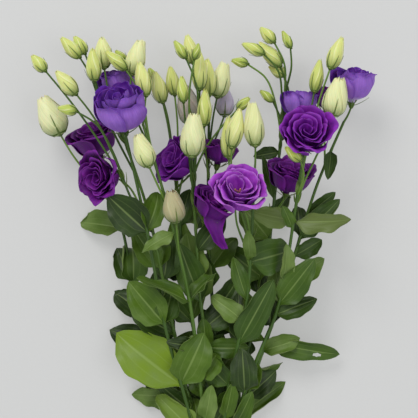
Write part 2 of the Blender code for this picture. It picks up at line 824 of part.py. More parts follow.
def to_mesh(name, solid):
    """A mesh in metres with its faces pointing out."""
    points, faces = solid
    mesh = bpy.data.meshes.new(name)
    mesh.from_pydata((points * MM).tolist(), [], faces)
    work = bmesh.new()
    work.from_mesh(mesh)
    bmesh.ops.remove_doubles(work, verts=work.verts, dist=1e-7)
    bmesh.ops.recalc_face_normals(work, faces=work.faces)
    work.to_mesh(mesh)
    work.free()
    return mesh


def bodies(work):
    """The separate closed shells of a bmesh, each as a list of faces."""
    left = set(work.faces)
    while left:
        body, edge = [], [left.pop()]
        while edge:
            face = edge.pop()
            body.append(face)
            linked = {other for side in face.edges for other in side.link_faces} & left
            left -= linked
            edge += linked
        yield body


def enclosed(body):
    """The signed volume of a shell in mm3, below zero for the wall of a sealed hollow."""
    volume = 0.0
    for face in body:
        first, *others = (vert.co for vert in face.verts)
        for second, third in zip(others, others[1:]):
            volume += first.dot(second.cross(third)) / 6
    return volume / MM**3


def drop_scraps(mesh):
    """Fill the hollows that a union sealed, and drop its loose scraps."""
    work = bmesh.new()
    work.from_mesh(mesh)
    bmesh.ops.dissolve_degenerate(work, dist=1e-7, edges=work.edges)
    scraps = [face for body in bodies(work) if enclosed(body) < SCRAP_VOLUME for face in body]
    bmesh.ops.delete(work, geom=scraps, context="FACES")
    work.to_mesh(mesh)
    work.free()


def joined(name, solids, finish):
    """One object that is the union of its solids, made by one Boolean on a collection."""
    obj = bpy.data.objects.new(name, to_mesh(name, solids[0]))
    bpy.context.scene.collection.objects.link(obj)
    obj.data.materials.append(finish)
    if len(solids) == 1:
        return
    group = bpy.data.collections.new(name + "_pieces")
    for solid in solids[1:]:
        group.objects.link(bpy.data.objects.new(name + "_piece", to_mesh(name, solid)))
    union = obj.modifiers.new("union", "BOOLEAN")
    union.operation = "UNION"
    union.operand_type = "COLLECTION"
    union.collection = group
    union.solver = "MANIFOLD"
    bpy.context.view_layer.update()
    evaluated = obj.evaluated_get(bpy.context.evaluated_depsgraph_get())
    obj.data = bpy.data.meshes.new_from_object(evaluated)
    obj.modifiers.clear()
    for piece in list(group.objects):
        bpy.data.objects.remove(piece)
    bpy.data.collections.remove(group)
    drop_scraps(obj.data)


def build():
    for obj in list(bpy.data.objects):
        bpy.data.objects.remove(obj)
    joined("band", [band_solid()], material("band_rubber", (0.45, 0.32, 0.18), 0.7))
    green = material("leaf_green", (0.10, 0.19, 0.04), 0.55)
    violets = {tone: material(tone, colour, 0.6) for tone, colour in PETAL_COLOURS.items()}
    for node, grown in arrange().items():
        solids = [tube(line.path, line.radii, line.sides) for line in grown.lines]
        for name, path, head in grown.heads:
            stalk, calyx, petals = grown_head(path, head)
            solids += [stalk, *calyx]
            if petals:
                joined(name, petals, violets[head.tone])
        solids += [leaf_solid(point_at(path, leaf.y)[0], leaf) for path, leaf in grown.leaves]
        joined(node, solids, green)


build()
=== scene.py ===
"""A bunch of lisianthus on a pale surface, seen from straight above.

The layout is the same as the solids': eleven stems run through a band and fan out towards +Y.
arrange() poses every head and leaf clear of the others, and each CAD node is then replaced by
fine pieces: stalks, leaves, buds with their sepals and bracts, whorls of petals, and the band.
Lengths in the layout are in millimetres, and dress() turns them into metres.
"""

import json
import math
import random
from collections import namedtuple

import bpy
import numpy as np
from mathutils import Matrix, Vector
from mathutils.bvhtree import BVHTree

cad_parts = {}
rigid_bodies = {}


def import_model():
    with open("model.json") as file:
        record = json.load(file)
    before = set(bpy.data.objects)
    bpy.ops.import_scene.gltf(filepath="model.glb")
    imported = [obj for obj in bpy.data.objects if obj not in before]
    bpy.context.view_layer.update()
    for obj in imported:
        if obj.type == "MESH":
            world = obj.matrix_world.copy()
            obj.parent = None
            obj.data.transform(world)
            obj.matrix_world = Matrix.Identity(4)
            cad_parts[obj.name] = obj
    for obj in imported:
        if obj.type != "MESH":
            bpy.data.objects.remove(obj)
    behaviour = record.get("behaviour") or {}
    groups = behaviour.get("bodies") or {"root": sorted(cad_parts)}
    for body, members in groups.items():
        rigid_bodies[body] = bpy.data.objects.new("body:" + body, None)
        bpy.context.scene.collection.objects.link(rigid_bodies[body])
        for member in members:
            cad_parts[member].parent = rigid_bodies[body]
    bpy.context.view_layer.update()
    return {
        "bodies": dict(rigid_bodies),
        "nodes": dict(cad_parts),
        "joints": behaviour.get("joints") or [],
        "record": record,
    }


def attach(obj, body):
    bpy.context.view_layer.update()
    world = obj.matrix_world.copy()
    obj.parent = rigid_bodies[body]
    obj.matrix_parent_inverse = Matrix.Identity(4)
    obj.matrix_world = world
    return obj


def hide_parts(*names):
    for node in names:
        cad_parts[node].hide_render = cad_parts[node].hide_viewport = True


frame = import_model()

MM = 0.001
GAP = 0.3  # between solids that touch in the real bunch
CLEARANCE = 0.5  # round a solid that only passes another
TOUCH = 1e-4  # what rests on the surface is this near to it
SEED = 11

# The cut stems and the band that holds them.
STEM_RADIUS = 2.6
STEM_TOP_RADIUS = 1.5
STEM_PITCH = 2 * STEM_RADIUS + 0.5
SHOOT_RADIUS = 1.3
STALK_RADIUS = 1.1
ROOT = 1.0  # how deep a stalk's ends are sunk
STEM_SIDES, STALK_SIDES, BUD_SIDES = 5, 3, 5
BAND_WALL = 1.3
BAND_HALF_WIDTH = 6.0
ROW_RISE = STEM_PITCH * math.sqrt(3) / 2  # the stems nest in the band like stacked pipes
CUT_END_Y = -118.0
CUT_END_SPREAD = 2.1
BAND_STRAIGHT = 14.0  # the stems stay parallel this far to each side of the band's middle

# Every row of stems climbs away from the surface at its own slope.
ROWS = ("bottom", "middle", "top")
ROW_COUNT = {"bottom": 4, "middle": 3, "top": 4}
ROW_SLOPE = {"bottom": 0.05, "middle": 0.125, "top": 0.21}

# Leaves, calyxes and buds. Widths along a bud are shares of its half width.
LEAF_THICKNESS = 0.8
PAIRED_LENGTH = 58.0  # the small upper leaves have lost their partners
UNDER_YS = {"bottom": (95, 150, 205, 262, 315), "middle": (75, 130, 190, 250, 305), "top": ()}
LEAF_STATIONS = (0.0, 0.24, 0.6, 1.0)
ACROSS = (-1.0, 0.0, 1.0)
CALYX_HEIGHT = 7.0
CALYX_RADIUS = 4.0
BUD_STATIONS = (0.0, 0.14, 0.42, 0.74, 1.0)
BUD_WIDTHS = (0.34, 0.80, 1.0, 0.62, 0.10)

# A whorl's petals run through these (radius, height) shares of half the flower's width and of
# its depth. A petal spans overlap times its own share of the circle, and skew pushes one of its
# edges out and the other in, so that each petal lies over the next. turn is how far a whorl is
# turned, in petals, and a flower's depth is a share of its width.
Whorl = namedtuple("Whorl", "count turn stations radii heights overlap skew")
Form = namedtuple("Form", "depth whorls")
OUTER = Whorl(5, 0.0, (0, 0.35, 0.7, 1), (0.10, 0.62, 0.86, 1.04), (0.04, 0.30, 0.76, 0.94), 1.42, 3.4)
INNER = Whorl(4, 0.5, (0, 0.5, 1), (0.07, 0.42, 0.60), (0.22, 0.58, 1.0), 1.3, 2.2)
CUPPED = Whorl(5, 0.0, (0, 0.35, 0.7, 1), (0.10, 0.66, 0.96, 0.84), (0.04, 0.26, 0.66, 1.0), 1.42, 3.0)
FULL = Form(0.62, (OUTER, INNER))
PLAIN = Form(0.62, (OUTER,))
CUP = Form(0.80, (CUPPED,))
PETAL_THICKNESS = 0.8
LIGHT, BRIGHT, MID, DARK = "violet_light", "violet_bright", "violet_mid", "violet_dark"

# A head's place is its middle, and a flower with no z lies on the surface. lean turns it from
# +Y towards +X in the plane of the surface, and lift raises it from that plane towards +Z, both
# in degrees. fork is the y at which its stalk leaves the stem, or None at the stem's top.
Bud = namedtuple("Bud", "fork x y z lean lift length width tone", defaults=("bud",))
Flower = namedtuple("Flower", "fork x y z lean lift width form tone")
Shoot = namedtuple("Shoot", "fork path heads")
# roll turns the blade about its own line, bend curls its tip down, twist winds it and fold
# closes its two halves towards each other, all in degrees.
Leaf = namedtuple("Leaf", "y lean lift length width roll bend twist fold shade", defaults=(None,))
Stem = namedtuple("Stem", "row column path heads shoots leaves")
# What arrange() works out: a stem's own line and its side shoots, then its heads and leaves.
Line = namedtuple("Line", "path radii sides heads")
Grown = namedtuple("Grown", "lines heads leaves")

# The shade of the leaf across from one with a shade of its own, and that of the torn leaf, with
# the first and last rows and columns of its hole.
PARTNER_SHADE = 0.55
TORN_SHADE = 0.42
TORN_HOLE = (11, 13, 3, 7)
HOLE_ROUNDING = 0.42  # how far the hole's corners are drawn in, as a share of the way

# The petal that hangs out of one bloom.
DROPPED_FROM = "flower_06"
DROPPED_START = (1, 331, 66)
DROPPED_END = (4, 288, 56)
DROPPED_WIDTH = 24

# The visible blades, in millimetres.
LEAF_SHEET = 0.55
PETAL_SHEET = 0.4
LINE_SPACING = 4.5
NODE_LENGTH = 3.0  # of the swelling where leaves and stalks grow from a stem
NODE_SWELL = 0.16
VISIBLE_STALK = (1.35, 1.05)  # a stalk's radius at its root and under its head
SEPALS = BUD_PETALS = 5

# A bud this wide is about to open and has a blunt tip. Wider buds are paler.
WIDE_BUD = 21
WIDE_BUD_WIDTHS = (0.34, 0.84, 1.0, 0.70, 0.34)
BUD_SHADE_BY_WIDTH = (9, 13, 17, 21, 30), (0.15, 0.42, 0.62, 0.85, 1)

# A leaf's margins: where they start to curl as a share of its half width, how many of them curl
# far, and how high they may rise.
CURL_FROM = 0.48
CURLED_SHARE = 0.30
RISE_LIMIT = 7.5

# The finer whorls of a bloom, from its rim to its heart. ruffle is how far the rims wave in
# millimetres.
FineWhorl = namedtuple("FineWhorl", "count turn stations radii heights overlap skew ruffle")
RIM_STATIONS = (0, 0.35, 0.7, 0.9, 1)
MIDDLE_STATIONS = (0, 0.5, 0.85, 1)
HEART_STATIONS = (0, 0.5, 1)
OPEN_WHORLS = (
    FineWhorl(
        5, 0.0, RIM_STATIONS,
        (0.10, 0.62, 0.86, 1.0, 1.05), (0.04, 0.30, 0.76, 0.91, 0.86), 1.55, 3.4, 1.4
    ),
    FineWhorl(
        4, 0.5, MIDDLE_STATIONS, (0.07, 0.46, 0.68, 0.75), (0.18, 0.56, 0.90, 0.93), 1.65, 3.6, 1.1
    ),
    FineWhorl(
        3, 0.25, MIDDLE_STATIONS, (0.06, 0.30, 0.45, 0.50), (0.22, 0.62, 0.96, 1.02), 1.7, 3.2, 0.9
    ),
    FineWhorl(2, 0.6, HEART_STATIONS, (0.04, 0.17, 0.26), (0.28, 0.62, 0.94), 1.5, 2.2, 0.6),
)
CUP_WHORLS = (
    FineWhorl(
        5, 0.0, RIM_STATIONS,
        (0.10, 0.66, 0.95, 0.90, 0.96), (0.04, 0.26, 0.66, 0.92, 1.0), 1.5, 3.0, 1.2
    ),
    FineWhorl(
        4, 0.5, MIDDLE_STATIONS, (0.07, 0.50, 0.72, 0.68), (0.14, 0.50, 0.90, 1.04), 1.6, 3.2, 1.1
    ),
    FineWhorl(
        3, 0.25, MIDDLE_STATIONS, (0.05, 0.30, 0.44, 0.40), (0.20, 0.55, 0.95, 1.08), 1.7, 2.4, 0.9
    ),
    FineWhorl(2, 0.6, HEART_STATIONS, (0.03, 0.14, 0.20), (0.28, 0.62, 1.0), 1.5, 1.6, 0.6),
)

STEMS = (
    Stem(
        "bottom", 0, [(-54, 138), (-93, 230), (-108, 305), (-135, 385)],
        [
            Flower(None, -141, 414, None, -18, 22, 62, FULL, DARK),
            Bud(325, -190, 443, 50, -25, 8, 49, 31),
        ],
        [],
        [
            Leaf(247, 4, 30, 62, 40, 10, 125, 0, 20),
            Leaf(170, -70, 8, 62, 34, 0, 25, 10, 15),
            Leaf(110, -85, 5, 55, 30, 0, 20, -15, 15),
        ],
    ),
    Stem(
        "middle", 0, [(-37, 138), (-60, 250), (-80, 340), (-110, 430)],
        [
            Bud(400, -129, 515, 58, -4, 5, 37, 20),
            Bud(410, -138, 499, 82, -3, 8, 38, 16),
            Flower(None, -113, 478, 38, -8, 12, 44, CUP, LIGHT),
        ],
        [
            Shoot(
                370, [(-118, 425), (-136, 468)],
                [Bud(None, -166, 520, 68, -44, 8, 32, 14), Bud(452, -157, 525, 50, -32, 5, 24, 13)],
            ),
        ],
        [
            Leaf(265, -35, 10, 60, 30, 0, 30, 0, 18),
            Leaf(207, -20, 0, 58, 30, 0, 20, 0, 18),
            Leaf(150, -60, 5, 60, 34, 0, 20, 0, 15),
            Leaf(95, -50, 0, 52, 28, 0, 15, 0, 15),
        ],
    ),
    Stem(
        "top", 0, [(-39, 129), (-58, 201), (-77, 308), (-101, 420)],
        [
            Flower(None, -105, 443, 100, -10, 36, 60, CUP, LIGHT),
            Flower(330, -119, 371, 70, -95, 55, 54, FULL, DARK),
        ],
        [
            Shoot(
                318, [(-97, 350), (-106, 374)],
                [
                    Bud(None, -169, 478, 84, -41, 8, 35, 17),
                    Bud(368, -166, 446, 102, -80, 6, 22, 11),
                    Bud(360, -195, 500, 86, -41, 5, 24, 13),
                ],
            ),
        ],
        [
            Leaf(129, -53, 8, 100, 62, 0, 25, -12, 14, 1.0),
            Leaf(201, -40, 12, 66, 44, 0, 18, 0, 34),
            Leaf(308, -47, 15, 62, 42, 0, 10, 0, 16),
            Leaf(72, -45, 10, 64, 38, 0, 25, 20, 30, 0.9),
        ],
    ),
    Stem(
        "bottom", 1, [(-17, 138), (-33, 240), (-46, 360)],
        [
            Flower(None, -36, 390, 44, -62, 32, 56, FULL, MID),
            Bud(345, -41, 456, 50, -14, 4, 49, 26, "grey_bud"),
            Bud(352, -66, 478, 62, -15, 6, 39, 17),
            Bud(335, -55, 486, 34, -9, 2, 35, 15),
            Bud(340, -74, 493, 40, -27, 2, 18, 10),
        ],
        [],
        [
            Leaf(270, -10, 5, 60, 30, 0, 20, 0, 15),
            Leaf(200, -45, 0, 62, 32, 0, 15, 0, 15),
            Leaf(140, 30, 0, 56, 30, 0, 15, 0, 15),
        ],
    ),
    Stem(
        "middle", 1, [(-6, 138), (-18, 240), (-26, 378)],
        [
            Bud(None, -25, 418, 96, 4, 10, 50, 26),
            Bud(330, -37, 471, 82, -4, 8, 30, 12),
            Bud(350, -18, 494, 72, -1, 6, 46, 16),
            Bud(338, -44, 521, 46, -13, 3, 35, 16),
            Bud(362, -55, 516, 64, -35, 5, 24, 10),
            Bud(365, -31, 512, 84, 15, 2, 18, 9),
            Bud(372, 33, 456, 66, 45, 6, 20, 10),
        ],
        [],
        [
            Leaf(224, -20, 10, 76, 34, 0, 15, 0, 22),
            Leaf(174, -6, 20, 34, 20, 0, 20, 0, 20),
            Leaf(172, 90, 20, 52, 24, 0, 30, 0, 12),
            Leaf(285, 30, 10, 56, 26, 0, 30, 0, 20),
            Leaf(110, -30, 5, 60, 30, 0, 20, 0, 18),
        ],
    ),
    Stem(
        "top", 1, [(-17, 130), (-29, 227), (-52, 330), (-81, 430)],
        [
            Bud(None, -87, 482, 96, -12, 6, 40, 17),
            Bud(385, -90, 508, 70, 17, 4, 42, 21),
            Bud(400, -118, 504, 84, -48, 6, 31, 13),
            Bud(392, -109, 511, 62, -42, 4, 18, 9),
            Bud(340, -80, 400, 112, -19, 10, 39, 21),
            Bud(285, -47, 338, 92, -9, 12, 38, 23, "beige_bud"),
        ],
        [],
        [
            Leaf(227, -60, 20, 74, 32, 55, 10, 20, 12),
            Leaf(175, -80, 15, 36, 20, 0, 20, 0, 20),
            Leaf(308, -118, 10, 44, 20, 20, 10, 30, 18),
            Leaf(138, 36, 25, 42, 28, 0, 90, 0, 10),
            Leaf(86, 10, 30, 46, 22, 0, 40, 0, 18),
        ],
    ),
    Stem(
        "bottom", 2, [(3, 138), (-6, 265), (-8, 357), (-7, 440)],
        [
            Bud(None, -8, 488, 50, -3, 2, 44, 17),
            Flower(280, -4, 338, 58, 28, 25, 52, FULL, DARK),
            Flower(345, 0, 400, 34, 10, 12, 42, PLAIN, DARK),
            Bud(400, 12, 463, 40, 2, 3, 36, 20, "lilac_bud"),
            Bud(390, 7, 486, 66, 13, 4, 42, 22),
            Bud(370, -7, 451, 80, 2, 8, 43, 15),
            Bud(380, -19, 445, 62, -23, 4, 18, 9),
        ],
        [],
        [
            Leaf(241, -19, 20, 48, 30, 0, 60, 0, 16),
            Leaf(262, 32, 4, 56, 32, 0, 30, 0, 15),
            Leaf(212, 40, 10, 54, 30, 10, 40, 10, 18),
            Leaf(180, 20, 0, 60, 30, 0, 15, 0, 15),
            Leaf(120, -20, 0, 56, 28, 0, 15, 0, 15),
        ],
    ),
    Stem(
        "top", 2, [(17, 132), (35, 215), (41, 290), (44, 370)],
        [
            Bud(None, 43, 430, 100, -5, 8, 50, 21),
            Flower(268, 25, 351, 118, 10, 50, 60, FULL, BRIGHT),
            Bud(285, 15, 417, 82, 0, 6, 48, 16),
            Bud(300, 28, 426, 92, 12, 6, 46, 18),
        ],
        [],
        [
            Leaf(178, 28, 20, 88, 34, 0, 20, 0, 18),
            Leaf(230, -18, 8, 52, 20, 0, 30, 10, 25),
            Leaf(205, -50, 6, 50, 28, 10, 40, -10, 18),
            Leaf(274, 75, 25, 54, 42, 0, 70, 0, 10),
            Leaf(276, -15, 25, 48, 16, 0, 20, 0, 20),
            Leaf(88, 12, 25, 48, 20, 0, 15, 20, 18),
            Leaf(128, -45, 20, 52, 30, 0, 30, 0, 15),
        ],
    ),
    Stem(
        "bottom", 3, [(32, 138), (57, 245), (70, 345), (84, 477)],
        [
            Bud(None, 83, 532, 46, -27, 3, 22, 9),
            Flower(325, 86, 370, 44, 10, 26, 58, FULL, DARK),
            Flower(415, 97, 455, 44, 4, 6, 40, CUP, LIGHT),
            Bud(440, 60, 536, 58, -45, 4, 24, 13),
            Bud(452, 63, 515, 76, -44, 6, 38, 16),
            Bud(430, 43, 519, 64, -66, 4, 28, 12),
            Bud(420, 28, 505, 50, -78, 4, 20, 10),
            Bud(436, 72, 497, 38, -60, 2, 22, 13),
            Bud(405, 59, 465, 60, -52, 4, 20, 9),
        ],
        [],
        [
            Leaf(299, -40, 5, 54, 36, 0, 20, 0, 15),
            Leaf(252, -52, 2, 60, 36, 0, 25, 0, 15),
            Leaf(200, -40, 0, 60, 36, 0, 25, 0, 15),
            Leaf(345, -15, 15, 56, 11, 0, 10, 0, 10),
            Leaf(402, -100, 20, 32, 17, 0, 20, 0, 15),
            Leaf(140, 80, 5, 50, 24, 40, 15, 50, 15),
            Leaf(230, 35, 0, 60, 30, 0, 15, 0, 15),
            Leaf(84, 55, 0, 78, 24, 0, 10, 0, 15),
        ],
    ),
    Stem(
        "middle", 2, [(46, 138), (81, 242), (116, 357), (148, 435)],
        [
            Flower(None, 159, 476, 60, 4, 18, 46, CUP, LIGHT),
            Flower(385, 135, 464, None, 14, 10, 46, PLAIN, DARK),
        ],
        [],
        [
            Leaf(178, 100, 10, 94, 26, 0, 35, 0, 12, TORN_SHADE),
            Leaf(168, 70, 10, 48, 26, 0, 30, 0, 15),
            Leaf(300, 45, 15, 66, 26, 0, 15, 0, 18),
            Leaf(328, 52, 0, 44, 15, 0, 15, 0, 20),
            Leaf(280, 60, 0, 38, 23, 0, 10, 0, 12),
            Leaf(402, -172, 30, 36, 15, 0, 15, 0, 12),
            Leaf(112, 48, 5, 48, 26, 0, 15, 0, 15),
        ],
    ),
    Stem(
        "top", 3, [(38, 132), (72, 220), (89, 320), (99, 396)],
        [
            Flower(None, 102, 417, 104, 5, 60, 58, FULL, MID),
            Bud(350, 86, 396, 116, -51, 10, 24, 11),
            Bud(340, 136, 461, 92, 12, 8, 45, 26),
            Bud(350, 133, 513, 76, 21, 5, 39, 16),
            Bud(352, 117, 488, 66, 10, 3, 39, 14),
        ],
        [],
        [
            Leaf(320, 92, 15, 68, 30, 150, 20, 0, 14),
            Leaf(224, 37, 20, 70, 32, 0, 15, 0, 14),
            Leaf(212, 66, 10, 52, 28, 0, 25, 0, 12),
            Leaf(253, 8, 25, 44, 20, 0, 20, 0, 14),
            Leaf(313, -25, 25, 30, 15, 0, 30, 0, 20),
            Leaf(120, -4, 25, 58, 34, 0, 60, 0, 20),
            Leaf(80, 24, 25, 50, 22, 0, 20, 0, 18),
        ],
    ),
)


# --- geometry helpers; points are numpy arrays in millimetres --------------------------------


def unit(vector):
    return vector / np.linalg.norm(vector)


def heading(lean, lift):
    """The direction of a head or a blade from its two angles in degrees."""
    lean, lift = math.radians(lean), math.radians(lift)
    return np.array(
        [math.cos(lift) * math.sin(lean), math.cos(lift) * math.cos(lean), math.sin(lift)]
    )


def spline(points, steps):
    """A Catmull-Rom curve through the points, with that many steps between each two."""
    points = np.asarray(points, float)
    padded = np.vstack([2 * points[0] - points[1], points, 2 * points[-1] - points[-2]])
    curve = []
    for before, start, end, after in zip(padded, padded[1:], padded[2:], padded[3:]):
        for step in range(steps):
            t = step / steps
            curve.append(
                0.5
                * (
                    2 * start
                    + (end - before) * t
                    + (2 * before - 5 * start + 4 * end - after) * t**2
                    + (3 * start - before - 3 * end + after) * t**3
                )
            )
    curve.append(points[-1])
    return np.array(curve)


def arc_between(start, start_way, end, end_way, steps):
    """A Hermite curve that leaves start along start_way and reaches end along end_way."""
    reach = np.linalg.norm(end - start)
    t = np.linspace(0, 1, steps + 1)[:, None]
    return (
        (2 * t**3 - 3 * t**2 + 1) * start
        + (t**3 - 2 * t**2 + t) * reach * start_way
        + (3 * t**2 - 2 * t**3) * end
        + (t**3 - t**2) * reach * end_way
    )


def point_at(path, y):
    """Where a path passes that y, and the way it runs there."""
    index = int(np.clip(np.searchsorted(path[:, 1], y), 1, len(path) - 1))
    low, high = path[index - 1], path[index]
    share = np.clip((y - low[1]) / (high[1] - low[1]), 0, 1)
    return low + (high - low) * share, unit(high - low)


def turned(vector, axis, degrees):
    """The vector turned about a unit axis."""
    angle = math.radians(degrees)
    return (
        vector * math.cos(angle)
        + np.cross(axis, vector) * math.sin(angle)
        + axis * np.dot(axis, vector) * (1 - math.cos(angle))
    )


def across(way):
    """A direction at right angles to way that lies in the plane of the surface."""
    side = np.cross(way, [0, 0, 1])
    return unit(side) if np.linalg.norm(side) > 1e-3 else np.array([1.0, 0, 0])


# --- solids, each a pair of points and triangles ---------------------------------------------


def head_frame(way):
    """The axes of a head that looks along way, as rows."""
    side = across(way)
    return np.array([side, np.cross(way, side), way])


def outward(frame, angle):
    """The direction square to a head's axis, at an angle round it."""
    return math.cos(angle) * frame[0] + math.sin(angle) * frame[1]


def tube(path, radii, sides):
    """A closed tube along a path, with one radius for each of its points."""
    path = np.asarray(path, float)
    side_way = across(unit(path[1] - path[0]))
    points = []
    for centre, way, radius in zip(path, np.gradient(path, axis=0), radii):
        way = unit(way)
        side_way = unit(side_way - way * np.dot(side_way, way))
        up_way = np.cross(side_way, way)
        for side in range(sides):
            angle = 2 * math.pi * side / sides
            points.append(centre + radius * (math.cos(angle) * side_way + math.sin(angle) * up_way))
    faces = []
    for ring in range(0, len(points) - sides, sides):
        for side in range(sides):
            a, b = ring + side, ring + (side + 1) % sides
            faces += [(a, b + sides, b), (a, a + sides, b + sides)]
    last = len(points) - sides
    for side in range(1, sides - 1):
        faces += [(0, side, side + 1), (last, last + side + 1, last + side)]
    return np.array(points), faces


def turned_solid(base, way, profile, sides):
    """A solid of revolution on an axis, from its (radius, height) pairs."""
    return tube([base + way * height for _, height in profile], [r for r, _ in profile], sides)


def blade(grid, thickness):
    """A thin solid either side of a grid of points, split into triangles alike on both faces."""
    rows, columns, _ = grid.shape
    sideways = np.gradient(grid, axis=1)
    for end, inner in ((0, 1), (-1, -2)):
        sideways[end] = sideways[inner]  # a pointed end has no width of its own
    normal = np.cross(np.gradient(grid, axis=0), sideways)
    normal /= np.linalg.norm(normal, axis=2, keepdims=True)
    for end in (0, -1):
        if np.ptp(grid[end], axis=0).max() < 1e-6:
            normal[end] = normal[end, columns // 2]
    half = normal * thickness / 2
    points = np.vstack([(grid + half).reshape(-1, 3), (grid - half).reshape(-1, 3)])
    lower = rows * columns
    faces = []
    for row in range(rows - 1):
        for column in range(columns - 1):
            a = row * columns + column
            b, c, d = a + 1, a + 1 + columns, a + columns
            faces += [(a, c, b), (a, d, c)]
            faces += [(lower + a, lower + b, lower + c), (lower + a, lower + c, lower + d)]
    rim = [(0, column) for column in range(columns)]
    rim += [(row, columns - 1) for row in range(1, rows)]
    rim += [(rows - 1, column) for column in range(columns - 2, -1, -1)]
    rim += [(row, 0) for row in range(rows - 2, 0, -1)]
    rim = [row * columns + column for row, column in rim]
    for a, b in zip(rim, rim[1:] + rim[:1]):
        faces += [(a, b, b + lower), (a, b + lower, a + lower)]
    return points, faces


# --- what grows on a stem --------------------------------------------------------------------


def leaf_outline(share):
    """The width of an egg-shaped blade at a share of its length, as a share of its widest."""
    return min(1.0, 5 * share) * 1.17 * (0.38 + 1.85 * share**0.8) * (1 - share) ** 0.75


def leaf_grid(root, leaf, stations, columns):
    """The middle surface of a leaf that grows from a point inside its stem."""
    way = heading(leaf.lean, leaf.lift)
    side = turned(across(way), way, leaf.roll)
    face = np.cross(side, way)
    fold = math.radians(leaf.fold)
    point = root
    rows = []
    previous = 0.0
    for share in stations:
        lead = turned(way, side, -leaf.bend * ((share + previous) / 2) ** 1.3)
        point = point + lead * (share - previous) * leaf.length
        normal = turned(turned(face, side, -leaf.bend * share**1.3), lead, leaf.twist * share)
        cross_way = turned(side, lead, leaf.twist * share)
        half = leaf.width / 2 * leaf_outline(share)
        rows.append(
            [
                point + half * (u * math.cos(fold) * cross_way + abs(u) * math.sin(fold) * normal)
                for u in columns
            ]
        )
        previous = share
    grid = np.array(rows)
    grid[:, :, 2] = np.maximum(grid[:, :, 2], LEAF_THICKNESS / 2)  # what sinks lies on the surface
    return grid


def leaf_solid(root, leaf, clearance=0.0):
    points, faces = blade(
        leaf_grid(root, leaf, LEAF_STATIONS, ACROSS), LEAF_THICKNESS + 2 * clearance
    )
    points[:, 2] = np.maximum(points[:, 2], 0.0)
    return points, faces


def bud_solid(bud, base, way, clearance=0.0):
    """A closed bud."""
    radii = np.array(BUD_WIDTHS) * bud.width / 2
    profile = list(zip(radii + clearance, np.array(BUD_STATIONS) * bud.length))
    return turned_solid(base, way, profile, BUD_SIDES)


def petal_grid(flower, whorl, number):
    """The middle surface of one petal, in the flower's own frame with its axis on +Z."""
    middle = 2 * math.pi * (number + whorl.turn) / whorl.count
    span = whorl.overlap * math.pi / whorl.count
    grid = np.zeros((len(whorl.stations), len(ACROSS), 3))
    for i, station in enumerate(whorl.stations):
        for j, u in enumerate(ACROSS):
            v = station * (1 - 0.16 * u * u)
            radius = np.interp(v, whorl.stations, whorl.radii) * flower.width / 2
            radius += whorl.skew * u * min(1.0, 3 * v)
            height = np.interp(v, whorl.stations, whorl.heights) * flower.width * flower.form.depth
            angle = middle + u * span * math.sin(min(1.0, 2.6 * v) * math.pi / 2)
            grid[i, j] = radius * math.cos(angle), radius * math.sin(angle), height
    return grid


def flower_solids(flower, base, way, clearance=0.0):
    """The core and its two whorls of petals."""
    frame = head_frame(way)
    core = [(CALYX_RADIUS, 0.0), (5.0, 6.0), (3.5, 13.0)]
    solids = [turned_solid(base, way, core, 6)]
    for whorl in flower.form.whorls:
        for number in range(whorl.count):
            grid = petal_grid(flower, whorl, number)
            solids.append(blade(grid @ frame + base, PETAL_THICKNESS + 2 * clearance))
    return solids


def calyx_solid(base, way):
    """The green cup under a flower."""
    low = base - way * (CALYX_HEIGHT + GAP)
    return turned_solid(low, way, [(2.0, 0), (CALYX_RADIUS, CALYX_HEIGHT)], 6)


def head_base(head):
    """The top of a head's stalk, and the way the head looks."""
    way = heading(head.lean, head.lift)
    depth = head.length / 2 if isinstance(head, Bud) else head.width * head.form.depth / 2
    z = head.z or 0.0
    return np.array([head.x, head.y, z], float) - way * depth, way


def stalk_line(path, head, base, way):
    """The line of a head's stalk, from its stem to its calyx."""
    end = base + way * ROOT if isinstance(head, Bud) else base - way * (CALYX_HEIGHT + GAP - ROOT)
    if head.fork is None:
        start_way = unit(path[-1] - path[-2])
        start = path[-1] - start_way * ROOT
    else:
        start, stem_way = point_at(path, head.fork)
        start_way = unit(stem_way + unit(end - start))
    steps = max(2, min(4, round(np.linalg.norm(end - start) / 30)))
    return arc_between(start, start_way, end, way, steps)


def stalk_solid(line, clearance):
    radii = np.linspace(STALK_RADIUS + 0.25, STALK_RADIUS, len(line)) + clearance
    return tube(line, radii, STALK_SIDES)


# --- the band ----------------------------------------------------------------------------------


def band_outline(offset, steps=3):
    """The line round the bundled stems at a distance from them, with rounded corners."""
    half = (ROW_COUNT["bottom"] - 1) / 2 * STEM_PITCH
    low, high = row_height("bottom"), row_height("top")
    radius = STEM_RADIUS + offset
    outline = []
    for x, z, start in ((half, low, -90), (half, high, 0), (-half, high, 90), (-half, low, 180)):
        for step in range(steps + 1):
            angle = math.radians(start + 90 * step / steps)
            outline.append((x + radius * math.cos(angle), z + radius * math.sin(angle)))
    return outline


def band_solid():
    """A closed loop round all the stems."""
    inner, outer = band_outline(GAP), band_outline(GAP + BAND_WALL)
    count = len(inner)
    points = [
        (x, y, z) for y in (-BAND_HALF_WIDTH, BAND_HALF_WIDTH) for x, z in inner + outer
    ]
    faces = []
    loops = (0, count, 3 * count, 2 * count)
    for a in range(count):
        b = (a + 1) % count
        for one, two in zip(loops, loops[1:] + loops[:1]):
            faces += [(one + a, two + a, two + b), (one + a, two + b, one + b)]
    return np.array(points), faces


# --- placing without crossing ----------------------------------------------------------------


def tree_of(solid):
    points, faces = solid
    return BVHTree.FromPolygons(points.tolist(), faces)


